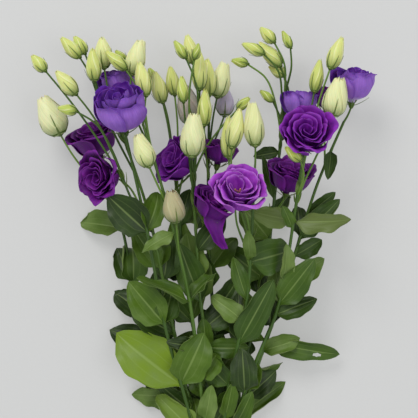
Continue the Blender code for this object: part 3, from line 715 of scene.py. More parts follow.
class Space:
    """What has been placed so far. Solids are told apart by their node and by a tag."""

    def __init__(self):
        self.owners, self.trees = [], []
        self.lows = self.highs = np.empty((0, 3))

    def is_clear(self, node, tag, solids):
        """Whether the solids touch nothing but their own stem and what shares their tag."""
        own = ((node, "stem"), (node, tag))
        for solid in solids:
            points = solid[0]
            near = (points.min(0) < self.highs).all(1) & (points.max(0) > self.lows).all(1)
            trees = [self.trees[i] for i in np.flatnonzero(near) if self.owners[i] not in own]
            if trees:
                tree = tree_of(solid)
                if any(tree.overlap(other) for other in trees):
                    return False
        return True

    def add(self, node, tag, solids):
        for solid in solids:
            self.owners.append((node, tag))
            self.trees.append(tree_of(solid))
            self.lows = np.vstack([self.lows, solid[0].min(0)])
            self.highs = np.vstack([self.highs, solid[0].max(0)])


def nearby(head):
    """The head where it is designed, then ever further from there."""
    yield head
    for step in range(1, 14):
        for sign in (1, -1):
            yield head._replace(z=head.z + sign * 3.0 * step)
        for dx, dy in ((5, 0), (-5, 0), (0, 5), (0, -5)):
            for dz in (0, 6, -6):
                scale = 1 + step // 5
                yield head._replace(
                    x=head.x + dx * scale, y=head.y + dy * scale, z=head.z + dz * scale
                )


def bent(leaf):
    """The leaf as designed, then turned, lifted and rolled ever further, then smaller."""
    tries = [
        (abs(lift) + 0.7 * abs(roll) + 1.2 * abs(lean), lift, roll, lean)
        for lift in (0, 8, -8, 16, -16, 26, -26, 38)
        for roll in (0, 20, -20, 40, -40, 65)
        for lean in (0, 8, -8, 18, -18, 30)
    ]
    for size in (1.0, 0.84, 0.7):
        for _, lift, roll, lean in sorted(tries):
            yield leaf._replace(
                lift=leaf.lift + lift,
                roll=leaf.roll + roll,
                lean=leaf.lean + lean,
                length=leaf.length * size,
                width=leaf.width * size,
            )


def row_height(row):
    """The height of a row of stems inside the band."""
    return BAND_WALL + GAP + STEM_RADIUS + ROWS.index(row) * ROW_RISE


def stem_path(stem):
    """A stem's line, from its cut end through the band to its last fork."""
    x = (stem.column - (ROW_COUNT[stem.row] - 1) / 2) * STEM_PITCH
    z = row_height(stem.row)
    cut_z = STEM_RADIUS + (z - row_height("bottom")) * CUT_END_SPREAD
    cut_y = CUT_END_Y + 5.0 * ((stem.column * 2 + ROWS.index(stem.row)) % 4)
    points = [
        (x * CUT_END_SPREAD, cut_y, cut_z),
        (x * 1.5, -58.0, (cut_z + z) / 2),
        (x, -BAND_STRAIGHT, z),
        (x, BAND_STRAIGHT, z),
    ]
    slope = ROW_SLOPE[stem.row]
    points += [(px, py, z + slope * (py - BAND_STRAIGHT)) for px, py in stem.path]
    return np.vstack([points[:3], spline(points[3:], 2)])  # straight through the band


def shoot_path(path, shoot):
    """A side shoot's line, which climbs from its fork towards its first head."""
    start, _ = point_at(path, shoot.fork)
    base, _ = head_base(shoot.heads[0])
    slope = (base[2] - start[2]) / (base[1] - start[1])
    points = [start] + [(x, y, start[2] + slope * (y - start[1])) for x, y in shoot.path]
    return spline(points, 2)


def grown_head(path, head, clearance=0.0):
    """The stalk, the green solids and the petals of a head."""
    base, way = head_base(head)
    stalk = stalk_solid(stalk_line(path, head, base, way), clearance)
    if isinstance(head, Bud):
        return stalk, [bud_solid(head, base, way, clearance)], []
    return stalk, [calyx_solid(base, way)], flower_solids(head, base, way, clearance)


def lowest(solids):
    return min(points[:, 2].min() for points, _ in solids)


def laid(head, path):
    """The flower at the height where its lowest petal touches the surface."""
    _, _, petals = grown_head(path, head)
    return head._replace(z=-lowest(petals))


def posed_head(space, node, tag, path, head, flower_name):
    """The first pose of a head that is clear of what is already in the space."""
    tries = nearby(head) if head.z is not None else [laid(head, path)]
    for tried in tries:
        stalk, green, petals = grown_head(path, tried, CLEARANCE)
        if lowest([stalk, *green]) < CLEARANCE:
            continue
        if not (space.is_clear(node, "stalk", [stalk]) and space.is_clear(node, tag, green)):
            continue
        if not space.is_clear(flower_name, tag, petals):
            continue
        stalk, green, petals = grown_head(path, tried)
        if petals and lowest(petals) < -TOUCH:
            continue
        space.add(node, "stalk", [stalk])
        space.add(node, tag, green)
        space.add(flower_name, tag, petals)
        return tried
    raise ValueError(f"no clear place for {node} {head}")


def posed_leaf(space, node, tag, path, leaf):
    """The first pose of a leaf that is clear of what is in the space, or None."""
    root, _ = point_at(path, leaf.y)
    for tried in bent(leaf):
        if space.is_clear(node, tag, [leaf_solid(root, tried, CLEARANCE)]):
            space.add(node, tag, [leaf_solid(root, tried)])
            return tried
    return None


def partner(leaf, path, draw):
    """The leaf across the stem from a given one."""
    _, way = point_at(path, leaf.y)
    stem_lean = math.degrees(math.atan2(way[0], way[1]))
    return leaf._replace(
        y=leaf.y + 2.0,
        lean=2 * stem_lean - leaf.lean + draw.uniform(-12, 12),
        lift=-leaf.lift * 0.5 + draw.uniform(-5, 10),
        length=leaf.length * draw.uniform(0.6, 0.8),
        width=leaf.width * draw.uniform(0.65, 0.8),
        roll=-leaf.roll,
        twist=-leaf.twist,
        bend=draw.uniform(10, 45),
        shade=None if leaf.shade is None else PARTNER_SHADE,
    )


def undergrowth(stem, path, draw):
    """The leaves that fill the bunch from behind, close above the surface."""
    for number, y in enumerate(UNDER_YS[stem.row]):
        _, way = point_at(path, y)
        side = 1 if (number + stem.column) % 2 else -1
        length = draw.uniform(44, 62)
        yield Leaf(
            y=y + draw.uniform(-8, 8),
            lean=math.degrees(math.atan2(way[0], way[1])) + side * draw.uniform(18, 62),
            lift=draw.uniform(-8, 6),
            length=length,
            width=length * draw.uniform(0.5, 0.66),
            roll=draw.uniform(-20, 20),
            bend=draw.uniform(5, 45),
            twist=draw.uniform(-20, 20),
            fold=draw.uniform(8, 22),
        )


def arrange():
    """Every node's lines, heads and leaves, posed clear of each other."""
    draw = random.Random(SEED)
    space = Space()
    space.add("band", "band", [band_solid()])
    bunch = {}
    for number, stem in enumerate(STEMS, 1):
        node = f"stem_{number:02d}"
        path = stem_path(stem)
        radii = np.interp(path[:, 1], [0, path[-1, 1]], [STEM_RADIUS, STEM_TOP_RADIUS])
        lines = [Line(path, radii, STEM_SIDES, stem.heads)]
        for shoot in stem.shoots:
            side_path = shoot_path(path, shoot)
            lines.append(Line(side_path, [SHOOT_RADIUS] * len(side_path), STALK_SIDES, shoot.heads))
        bunch[node] = Grown(lines, [], [])
        space.add(node, "stem", [tube(line.path, line.radii, line.sides) for line in lines])
    heads = [
        (node, line.path, head)
        for node, grown in bunch.items()
        for line in grown.lines
        for head in line.heads
    ]
    heads.sort(key=lambda entry: isinstance(entry[2], Bud))  # the flowers take their places first
    for number, (node, path, head) in enumerate(heads, 1):
        name = f"flower_{number:02d}"
        head = posed_head(space, node, f"head {number}", path, head, name)
        bunch[node].heads.append((name, path, head))
    leaves = [
        (node, f"pair {number}", bunch[node].lines[0].path, leaf)
        for node, stem in zip(bunch, STEMS)
        for number, leaf in enumerate(stem.leaves)
    ]
    pairs = [entry for entry in leaves if entry[3].length >= PAIRED_LENGTH]
    leaves += [(node, tag, path, partner(leaf, path, draw)) for node, tag, path, leaf in pairs]
    for node, stem in zip(bunch, STEMS):
        path = bunch[node].lines[0].path
        leaves += [(node, f"low {leaf.y}", path, leaf) for leaf in undergrowth(stem, path, draw)]
    for node, tag, path, leaf in leaves:
        posed = posed_leaf(space, node, tag, path, leaf)
        if posed:
            bunch[node].leaves.append((path, posed))
    return bunch


# --- colours and view ------------------------------------------------------------------------


def linear(red, green, blue):
    """A colour from its 0-255 parts as a screen shows them."""
    parts = [part / 255 for part in (red, green, blue)]
    return (*[p / 12.92 if p <= 0.04045 else ((p + 0.055) / 1.055) ** 2.4 for p in parts], 1)


LEAF_SHADES = (
    (0.0, linear(22, 42, 2)),
    (0.3, linear(46, 74, 4)),
    (0.55, linear(70, 98, 10)),
    (0.75, linear(104, 126, 62)),
    (1.0, linear(106, 132, 10)),
)
LEAF_BACK = linear(112, 128, 66)
NERVE = linear(150, 170, 100)
STEM_SHADES = ((0.1, linear(34, 58, 10)), (0.5, linear(60, 90, 22)), (0.9, linear(104, 136, 48)))
BUD_SHADES = (
    (0.0, linear(146, 162, 62)),
    (0.3, linear(188, 198, 92)),
    (0.6, linear(216, 216, 130)),
    (1.0, linear(230, 226, 176)),
)
LILAC_SHADES = ((0.0, linear(176, 160, 190)), (1.0, linear(206, 190, 218)))
GREY_SHADES = ((0.0, linear(150, 140, 122)), (1.0, linear(176, 164, 156)))
BEIGE_SHADES = ((0.0, linear(150, 142, 100)), (1.0, linear(182, 172, 132)))
# face, deep, rim, back, throat, and how far the throat's colour shows
PETAL_FINISH = {
    LIGHT: ((154, 96, 206), (84, 20, 142), (80, 16, 150), (168, 122, 214), (224, 210, 240), 0.7),
    BRIGHT: ((176, 74, 204), (122, 28, 150), (208, 142, 228), (160, 72, 190), (60, 16, 70), 0.7),
    MID: ((136, 30, 172), (88, 8, 118), (160, 70, 196), (118, 36, 154), (60, 16, 76), 0.4),
    DARK: ((118, 16, 142), (68, 4, 88), (142, 46, 170), (104, 24, 130), (40, 6, 50), 0.4),
}
FLOOR_COLOUR = (150, 150, 150)
FLOOR_GLOW = (210, 210, 208)
WORLD_STRENGTH = 0.66
WORLD_COLOUR = (0.93, 0.97, 1.0, 1)
KEY_PLACE = (-1.2, 2.5, 2.8)
KEY_SIZE = 1.8
KEY_POWER = 66
KEY_COLOUR = (1, 0.985, 0.96)
FILL_PLACE = (1.6, 0.2, 3.0)
FILL_SIZE = 2.0
FILL_POWER = 20
LIT_POINT = (0, 0.33, 0.05)
FLOOR_REACH = 3.0
FLOOR_CENTRE_Y = 0.3
FLOOR_DROP = 0.0004  # just under the lowest petals
VIEW_CENTRE = (-0.007, 0.33465)
VIEW_PLANE = 0.06
VIEW_WIDTH = 0.481
CAMERA_DISTANCE = 1.5


# --- visible pieces: sheets and pipes gathered into skins ----------------------------------------


class Skin:
    """The faces of one visible piece. uv runs across and along each part, and tint holds the
    part's shade and its side: 0 for a leaf's face or a petal's inside, 1 for the back."""

    def __init__(self):
        self.points, self.uv, self.tint, self.faces, self.sharp = [], [], [], [], []
        self.count = 0

    def add(self, points, uv, tint, faces, sharp=()):
        self.points.append(points)
        self.uv.append(uv)
        self.tint.append(tint)
        self.faces += [tuple(int(i) + self.count for i in face) for face in faces]
        self.sharp += [(a + self.count, b + self.count) for a, b in sharp]
        self.count += len(points)

    def sheet(self, grid, thickness, shade, hole=None):
        """A thin blade either side of a grid of points, facing rows x columns. A hole is given by
        the first and last of its rows and of its columns, and its corners are drawn in."""
        rows, columns, _ = grid.shape
        if hole:
            top, bottom, left, right = hole
            ends = np.ix_((top, bottom), (left, right))
            grid[ends] += HOLE_ROUNDING * (grid[ends].mean((0, 1)) - grid[ends])
        normal = np.cross(np.gradient(grid, axis=0), np.gradient(grid, axis=1))
        normal /= np.maximum(np.linalg.norm(normal, axis=2, keepdims=True), 1e-9)
        half = normal * thickness / 2
        points = np.vstack([(grid + half).reshape(-1, 3), (grid - half).reshape(-1, 3)])
        along, over = np.mgrid[0 : 1 : rows * 1j, 0 : 1 : columns * 1j]
        uv = np.stack([over.ravel(), along.ravel()], 1)
        lower = rows * columns
        a = (np.arange(rows - 1)[:, None] * columns + np.arange(columns - 1)).ravel()
        front = np.stack([a, a + columns, a + columns + 1, a + 1], 1)
        index = np.arange(lower).reshape(rows, columns)
        parts = [index]
        if hole:
            kept = np.ones((rows - 1, columns - 1), bool)
            kept[top:bottom, left:right] = False
            front = front[kept.ravel()]
            parts.append(index[top : bottom + 1, left : right + 1])
        faces, pairs = [*front.tolist(), *(front[:, ::-1] + lower).tolist()], []
        for part in parts:
            rim = np.concatenate([part[0], part[1:, -1], part[-1, -2::-1], part[-2:0:-1, 0]])
            rim = rim if part is index else rim[::-1]
            following = np.roll(rim, -1)
            faces += np.stack([rim, following, following + lower, rim + lower], 1).tolist()
            ends = list(zip(rim.tolist(), following.tolist()))
            pairs += ends + [(one + lower, two + lower) for one, two in ends]
        tint = np.repeat([(shade, 0.0), (shade, 1.0)], lower, axis=0)
        self.add(points, np.vstack([uv, uv]), tint, faces, pairs)

    def pipe(self, path, radii, sides, shade):
        """A closed tube along a path."""
        points, _ = tube(path, radii, sides)
        rings = len(path)
        side = np.abs(np.arange(sides) * 2 / sides - 1)
        reach = np.concatenate([[0], np.cumsum(np.linalg.norm(np.diff(path, axis=0), axis=1))])
        uv = np.stack([np.tile(side, rings), np.repeat(reach / 100, sides)], 1)
        a = np.arange(rings - 1)[:, None] * sides + np.arange(sides)
        b = np.arange(rings - 1)[:, None] * sides + (np.arange(sides) + 1) % sides
        faces = np.stack([a, b, b + sides, a + sides], 2).reshape(-1, 4).tolist()
        last = (rings - 1) * sides
        faces += [tuple(range(sides))[::-1], tuple(range(last, last + sides))]
        self.add(points, uv, np.tile((shade, 0.0), (len(points), 1)), faces)


def eased(x, stations, values):
    """A smooth curve through (station, value) pairs, at every x."""
    stations, values = np.array(stations, float), np.array(values, float)
    x = np.clip(x, stations[0], stations[-1])
    slopes = np.gradient(values, stations)
    low = np.clip(np.searchsorted(stations, x, side="right") - 1, 0, len(stations) - 2)
    gap = stations[low + 1] - stations[low]
    t = (x - stations[low]) / gap
    return (
        (2 * t**3 - 3 * t**2 + 1) * values[low]
        + (t**3 - 2 * t**2 + t) * gap * slopes[low]
        + (3 * t**2 - 2 * t**3) * values[low + 1]
        + (t**3 - t**2) * gap * slopes[low + 1]
    )


def resampled(path, spacing):
    """The path as a smooth line with a point at every spacing."""
    path = spline(path, 5)
    reach = np.concatenate([[0], np.cumsum(np.linalg.norm(np.diff(path, axis=0), axis=1))])
    wanted = np.linspace(0, reach[-1], max(4, int(reach[-1] / spacing) + 1))
    return np.stack([np.interp(wanted, reach, path[:, axis]) for axis in range(3)], 1)


def mesh_grid(rows, columns):
    return np.linspace(0, 1, rows)[:, None], np.linspace(-1, 1, columns)[None, :]


def fine_leaf(skin, root, leaf, shade, draw):
    """A leaf with a sunken midrib, waved margins that may roll up, and a curled tip."""
    rows, columns = (19, 17) if leaf.length > 45 else (15, 13)
    v, u = mesh_grid(rows, columns)
    flat = leaf_grid(root, leaf._replace(fold=0), v[:, 0], u[0])
    middle = flat[:, columns // 2][:, None]
    normal = np.cross(np.gradient(flat, axis=1), np.gradient(flat, axis=0))
    normal /= np.maximum(np.linalg.norm(normal, axis=2, keepdims=True), 1e-9)
    normal[0], normal[-1] = normal[1], normal[-2]
    fold = math.radians(leaf.fold)
    rounded = np.sqrt(u * u + 0.03) - math.sqrt(0.03)
    half = leaf.width / 2 * np.array([leaf_outline(share) for share in v[:, 0]])[:, None]
    notches = 0.035 * np.sin(23 * v + 3 * leaf.width) * np.sign(u)
    ragged = 1 + 0.05 * np.sin(9 * v + 5 * leaf.length) + notches
    flat = middle + (flat - middle) * np.where(np.abs(u) > 0.55, ragged, 1)[..., None]
    rise = rounded * math.sin(fold) * half * (1.15 - 0.5 * v)
    phase, waves = draw.uniform(0, 6.3), draw.uniform(1.6, 2.8)
    size = min(1.0, leaf.width / 34)
    side_phase = phase + np.where(u > 0, 1.7, 0)
    margin = 3.6 * size * np.abs(u) ** 3 * (1 - v**6)
    rise = rise + margin * np.sin(2 * math.pi * waves * v + side_phase)
    rise -= draw.uniform(-5.0, 12.0) * size * v**4
    roll = np.where(u > 0, draw.uniform(-0.35, 0.5), draw.uniform(-0.35, 0.5))
    rise = rise + half * roll * np.abs(u) ** 2.2 * np.sin(math.pi * np.minimum(0.85 * v + 0.12, 1))
    turns = [
        draw.uniform(1.5, 2.9) if draw.random() < CURLED_SHARE else draw.uniform(0.1, 0.7)
        for _ in range(2)
    ]
    along = np.clip(v + 0.25 * math.sin(phase), 0, 1)
    fading = np.maximum(np.sin(math.pi * along), 0.02) ** 0.8 * np.minimum(1, 5 * (1 - v))
    turn = np.maximum(np.where(u > 0, *turns) * fading, 0.02)
    beyond = np.maximum(0, np.abs(u) - CURL_FROM) / (1 - CURL_FROM)
    drawn_in = np.minimum(np.abs(u), CURL_FROM) + (1 - CURL_FROM) * np.sin(turn * beyond) / turn
    flat = middle + (flat - middle) * (drawn_in / np.maximum(np.abs(u), 1e-6))[..., None]
    rise = rise + (1 - CURL_FROM) * half * (1 - np.cos(turn * beyond)) / turn
    rise = rise + half * 0.30 * u * np.sin(4.5 * v + phase) * v
    rise -= 0.5 * np.exp(-((u / 0.1) ** 2)) * (1 - v)
    rise += 0.35 * size * np.sin(math.pi * 4 * np.abs(u)) * np.sin(math.pi * v)
    rise = RISE_LIMIT * np.tanh(rise / RISE_LIMIT)
    grid = middle + (flat - middle) * (math.cos(fold) ** 0.6) + normal * rise[..., None]
    grid[0] = middle[0] + (grid[1] - middle[1]) * 0.45
    grid[-1] = middle[-1] + normal[-1] * rise[-1][:, None] + (grid[-2] - middle[-2]) * 0.06
    grid[:, :, 2] = np.maximum(grid[:, :, 2], 0.6)
    skin.sheet(grid[:, ::-1], LEAF_SHEET, shade, TORN_HOLE if leaf.shade == TORN_SHADE else None)


def lance(skin, root, way, side, length, width, curl, shade, columns=5):
    """A narrow pointed blade, for bracts and sepals. It grows along way and curls to side."""
    v, u = mesh_grid(9, columns)
    over = unit(np.cross(way, side))
    half = width / 2 * np.maximum(np.sin(math.pi * (0.16 + 0.84 * v)) ** 0.75 * (1 - 0.5 * v), 0.05)
    line = root + v[..., None] * length * way + (v**2 * curl)[..., None] * side
    grid = line + (u * half)[..., None] * over + ((u * u - 0.4) * half * 0.35)[..., None] * -side
    skin.sheet(grid, PETAL_SHEET, shade)


def wrapped(frame, base, angle, radius, height):
    """Points from their angle, radius and height about a head's axis."""
    local = np.stack([radius * np.cos(angle), radius * np.sin(angle), height + 0 * angle], -1)
    return local @ frame + base


def fine_bud(buds, greens, bud, base, way, draw):
    """Petals wound round each other on a core, in a green cup with five narrow sepals."""
    frame, half = head_frame(way), bud.width / 2
    wide = bud.width >= WIDE_BUD
    shade = draw.uniform(-0.06, 0.06) + np.interp(bud.width, *BUD_SHADE_BY_WIDTH)
    widths = WIDE_BUD_WIDTHS if wide else BUD_WIDTHS
    core = [(half * w * 0.86, bud.length * s * 0.94) for s, w in zip(BUD_STATIONS, BUD_WIDTHS)]
    line = np.array([base + way * height for _, height in core])
    radii = np.interp(np.linspace(0, 1, 13), BUD_STATIONS, [r for r, _ in core])
    buds.pipe(spline(line, 3), radii, 12, shade)
    rows, columns = (15, 11) if bud.width > 13 else (11, 7)
    v, u = mesh_grid(rows, columns)
    start, twist = draw.uniform(0, 6.3), draw.choice((-1, 1)) * draw.uniform(0.9, 1.5)
    turn = 1 if twist > 0 else -1
    for number in range(BUD_PETALS):
        middle = start + 2 * math.pi * number / BUD_PETALS
        lobe = draw.uniform(-0.02, 0.04)
        tip = 1 - (0.05 if wide else 0.10) * np.abs(u) ** 1.6 + lobe - 0.04
        if wide:
            tip = tip + 0.03 * np.sin(8 * u + middle * 3)
        reach = v * tip
        span = 0.80 * (2 * math.pi / BUD_PETALS) * (1 - 0.30 * v**3)
        angle = middle + turn * u * span + twist * v**1.3
        radius = half * eased(reach, BUD_STATIONS, widths) * (1 + 0.055 * u * np.minimum(1, 4 * v))
        radius = radius + 0.35 + (0.5 * np.sin(5 * u + middle) * v**6 if wide else 0)
        petal = wrapped(frame, base, angle, radius, bud.length * reach)
        buds.sheet(petal, PETAL_SHEET, shade + lobe)
    cup = [(1.25, -2.2), (0.30 * half + 0.7, 0.0), (0.62 * half + 0.5, bud.length * 0.055)]
    greens.pipe(np.array([base + way * h for _, h in cup]), [r for r, _ in cup], 12, 0.55)
    for number in range(SEPALS):
        angle = start + 0.6 + 2 * math.pi * number / SEPALS
        out = outward(frame, angle)
        length = bud.length * draw.uniform(0.34, 0.6)
        v, u = mesh_grid(9, 5)
        girth = half * eased(v * length / bud.length + 0.02, BUD_STATIONS, BUD_WIDTHS)
        radius = girth + 0.9 + draw.uniform(0.3, 2.4) * v**4
        width = (0.55 + 0.025 * bud.width) * np.maximum((1 - v) ** 0.8, 0.06)
        over = np.cross(way, out)
        middle = base + (v * length)[..., None] * way + radius[..., None] * out
        grid = middle + (u * width)[..., None] * over
        grid = grid - (np.abs(u) * width * 0.25)[..., None] * out
        greens.sheet(grid, PETAL_SHEET, draw.uniform(0.4, 0.6))


def fine_petal(skin, flower, frame, base, whorl, number, draw):
    """One broad petal with a rolled, waved rim. One edge lies under its neighbour."""
    rows, columns = (16, 15) if whorl.count > 3 else (14, 17)
    v, u = mesh_grid(rows, columns)
    half, depth = flower.width / 2, flower.width * flower.form.depth
    middle = 2 * math.pi * (number + whorl.turn) / whorl.count + draw.uniform(-0.2, 0.2)
    span = whorl.overlap * math.pi / whorl.count
    tip = 1 - 0.11 * np.abs(u) ** 2.6 + 0.012 * np.sin(4.2 * u + draw.uniform(0, 6.3))
    reach = v * tip * draw.uniform(0.92, 1.04)
    radius = half * draw.uniform(0.93, 1.06) * eased(reach, whorl.stations, whorl.radii)
    radius = radius + whorl.skew * u * np.minimum(1, 3 * reach)
    height = depth * eased(reach, whorl.stations, whorl.heights)
    phase, waves = draw.uniform(0, 6.3), draw.uniform(2.2, 4.6)
    wave = whorl.ruffle * draw.uniform(1.1, 2.0) * v**2.6
    small_wave = 0.4 * wave * np.sin(2.7 * waves * u - phase)
    radius = radius + wave * np.sin(waves * u + phase) + small_wave
    dip = draw.uniform(0, 3.2) * v**5 * (1 - u * u)
    height = height + 0.8 * wave * np.sin(waves * u + phase + 1.6) - dip
    radius = radius - 0.7 * np.exp(-((u / 0.22) ** 2)) * np.sin(math.pi * np.minimum(v, 0.9))
    shoulder = 1 - 0.30 * np.maximum(0, (v - 0.6) / 0.4) ** 2.4
    spread = 0.5 + 0.5 * np.sin(np.minimum(1, 2.6 * reach) * math.pi / 2)
    angle = middle + u * span * spread * shoulder
    grid = wrapped(frame, base, angle, np.maximum(radius, 0.6), height)
    grid[:, :, 2] = np.maximum(grid[:, :, 2], 0.3)
    skin.sheet(grid, PETAL_SHEET, draw.uniform(0, 1))


def dropped_petal(skin):
    """A petal that hangs out of its bloom, narrow and turned up at its tip."""
    v, u = mesh_grid(15, 9)
    start, end = np.array(DROPPED_START, float), np.array(DROPPED_END, float)
    over = unit(np.cross(end - start, (0, 0, 1)))
    half = DROPPED_WIDTH / 2 * (1 - 0.72 * v**1.4) * (1 + 0.12 * np.sin(9 * v))
    sway = 2.5 * np.sin(5 * v) - 5.0 * np.maximum(0, v - 0.8) / 0.2
    rise = 3.0 * np.sin(math.pi * v) + half * 0.5 * u * u + 1.2 * np.sin(4 * u + 5 * v)
    grid = start + v[..., None] * (end - start) + (u * half + sway)[..., None] * over
    grid[:, :, 2] += rise
    skin.sheet(grid, PETAL_SHEET, 0.3)


def fine_flower(flower, base, way, name):
    """The petals of a bloom in two skins, the outer ones and the heart."""
    draw, frame = random.Random(name), head_frame(way)
    outer, heart = Skin(), Skin()
    core = np.array([base, base + way * 6.0, base + way * 13.0])
    heart.pipe(core, [CALYX_RADIUS - 0.3, 4.4, 2.2], 12, 0.5)
    whorls = CUP_WHORLS if flower.form is CUP else OPEN_WHORLS
    for whorl in whorls[:3] if flower.tone == BRIGHT else whorls:
        skin = outer if whorl.count > 3 else heart
        for number in range(whorl.count):
            fine_petal(skin, flower, frame, base, whorl, number, draw)
    if name == DROPPED_FROM:
        dropped_petal(outer)
    return outer, heart


def stamens(flower, base, way):
    """Five stamens round a forked pistil, in the throat of an open bloom."""
    skin, frame = Skin(), head_frame(way)
    depth = flower.width * flower.form.depth
    skin.pipe(np.array([base + way * 6, base + way * depth * 0.62]), [1.6, 1.0], 8, 0.2)
    for number in range(7):
        angle = 2 * math.pi * number / 5 if number < 5 else math.pi * number
        out = outward(frame, angle)
        if number < 5:
            tip = base + way * depth * 0.56 + out * 4.6
            skin.pipe(np.array([base + way * 8 + out * 1.5, tip]), [0.35, 0.35], 6, 0.3)
            anther = np.array([tip - way * 0.4, tip + way * 1.1, tip + way * 2.6 + out * 0.6])
            skin.pipe(anther, [0.5, 1.0, 0.4], 8, 1)
        else:
            end = base + way * (depth * 0.62 + 1.2) + out * 1.7
            lobe = np.array([base + way * depth * 0.61, end, end + way * 0.8 + out * 0.5])
            skin.pipe(lobe, [0.8, 1.2, 0.5], 8, 0.6)
    return skin


# --- materials -----------------------------------------------------------------------------------


class Finish:
    """A Principled material and the few kinds of node that these materials use."""

    def __init__(self, name, roughness, **sockets):
        self.material = bpy.data.materials.new(name)
        self.material.use_nodes = True
        self.nodes = self.material.node_tree.nodes
        self.shader = self.nodes["Principled BSDF"]
        self.shader.inputs["Roughness"].default_value = roughness
        for socket, value in sockets.items():
            self.shader.inputs[socket.replace("_", " ")].default_value = value

    def node(self, kind, inputs=(), output=0, **settings):
        made = self.nodes.new("ShaderNode" + kind)
        for name, value in settings.items():
            setattr(made, name, value)
        for socket, value in dict(inputs).items():
            if isinstance(value, bpy.types.NodeSocket):
                self.material.node_tree.links.new(value, made.inputs[socket])
            else:
                made.inputs[socket].default_value = value
        return made.outputs[output]

    def maths(self, operation, a, b=0.0, c=0.0):
        return self.node("Math", {0: a, 1: b, 2: c}, operation=operation)

    def coordinates(self, name):
        both = self.node("UVMap", uv_map=name)
        parts = self.nodes.new("ShaderNodeSeparateXYZ")
        self.material.node_tree.links.new(both, parts.inputs[0])
        return parts.outputs[0], parts.outputs[1]

    def apart(self, u):
        """How far a point lies from its blade's midline, where it is 0, to the margin's 1."""
        return self.maths("ABSOLUTE", self.maths("MULTIPLY_ADD", u, 2.0, -1.0))

    def varied(self, shade, noise, amount):
        """The shade, made darker and lighter by a noise."""
        return self.maths("MULTIPLY_ADD", noise, amount, self.maths("SUBTRACT", shade, amount / 2))

    def ramp(self, factor, *stops):
        made = self.nodes.new("ShaderNodeValToRGB")
        self.material.node_tree.links.new(factor, made.inputs[0])
        elements = made.color_ramp.elements
        while len(elements) < len(stops):
            elements.new(0.5)
        for element, (place, colour) in zip(elements, stops):
            element.position = place
            element.color = colour if isinstance(colour, tuple) else (colour, colour, colour, 1)
        return made.outputs[0]

    def mix(self, factor, a, b, blend="MIX"):
        return self.node("Mix", {0: factor, 6: a, 7: b}, 2, data_type="RGBA", blend_type=blend)

    def noise(self, scale, detail=3.0, vector=None):
        if vector is None:
            vector = self.node("TexCoord", output=3)
        return self.node("TexNoise", {"Vector": vector, "Scale": scale, "Detail": detail})

    def streaks(self, across, along):
        """Noise drawn out along each blade."""
        u, v = self.coordinates("UVMap")
        tint, _ = self.coordinates("Tint")
        place = self.node(
            "CombineXYZ",
            {
                0: self.maths("MULTIPLY", u, across),
                1: self.maths("MULTIPLY", v, along),
                2: self.maths("MULTIPLY", tint, 31.0),
            },
        )
        return self.noise(1.0, 3.0, place)

    def done(self, colour, height, distance, rough=None):
        links = self.material.node_tree.links
        links.new(colour, self.shader.inputs["Base Color"])
        bump = self.node("Bump", {"Height": height, "Strength": 0.6, "Distance": distance})
        links.new(bump, self.shader.inputs["Normal"])
        if rough is not None:
            links.new(rough, self.shader.inputs["Roughness"])
        return self.material


def leaf_finish():
    """Waxy leaves, with a pale midrib, side nerves, and paler backs."""
    f = Finish("leaf_fine", 0.45, Specular_IOR_Level=0.28, Sheen_Weight=0.08, Sheen_Roughness=0.5)
    f.shader.inputs["Sheen Tint"].default_value = linear(205, 220, 180)
    u, _ = f.coordinates("UVMap")
    shade, side = f.coordinates("Tint")
    apart = f.apart(u)
    nerves = f.ramp(
        apart,
        *[(0, 1.0), (0.035, 0.8), (0.075, 0.0)],  # the midrib
        *[(0.36, 0.0), (0.40, 0.34), (0.44, 0.0)],
        *[(0.69, 0.0), (0.72, 0.2), (0.75, 0.0), (1, 0.0)],
    )
    patches = f.noise(34.0, 4.0)
    place = f.maths("MULTIPLY_ADD", patches, 0.60, f.maths("SUBTRACT", shade, 0.32))
    colour = f.ramp(place, *LEAF_SHADES)
    colour = f.mix(f.maths("MULTIPLY", side, 0.62), colour, LEAF_BACK)
    colour = f.mix(f.maths("MULTIPLY", nerves, 0.34), colour, NERVE)
    fine = f.noise(420.0, 3.0)
    colour = f.mix(f.maths("MULTIPLY", fine, 0.08), colour, linear(124, 146, 84))
    rough = f.maths("MULTIPLY_ADD", patches, 0.25, 0.32)
    height = f.maths("SUBTRACT", f.maths("MULTIPLY", fine, 0.35), nerves)
    return f.done(colour, height, 0.0004, rough)


def stem_finish():
    f = Finish("stem_fine", 0.42, Specular_IOR_Level=0.4)
    shade, _ = f.coordinates("Tint")
    streaks = f.streaks(7.0, 3.0)
    colour = f.ramp(f.varied(shade, streaks, 0.5), *STEM_SHADES)
    fine = f.noise(700.0, 2.0)
    rough = f.maths("MULTIPLY_ADD", fine, 0.2, 0.36)
    return f.done(colour, streaks, 0.0003, rough)


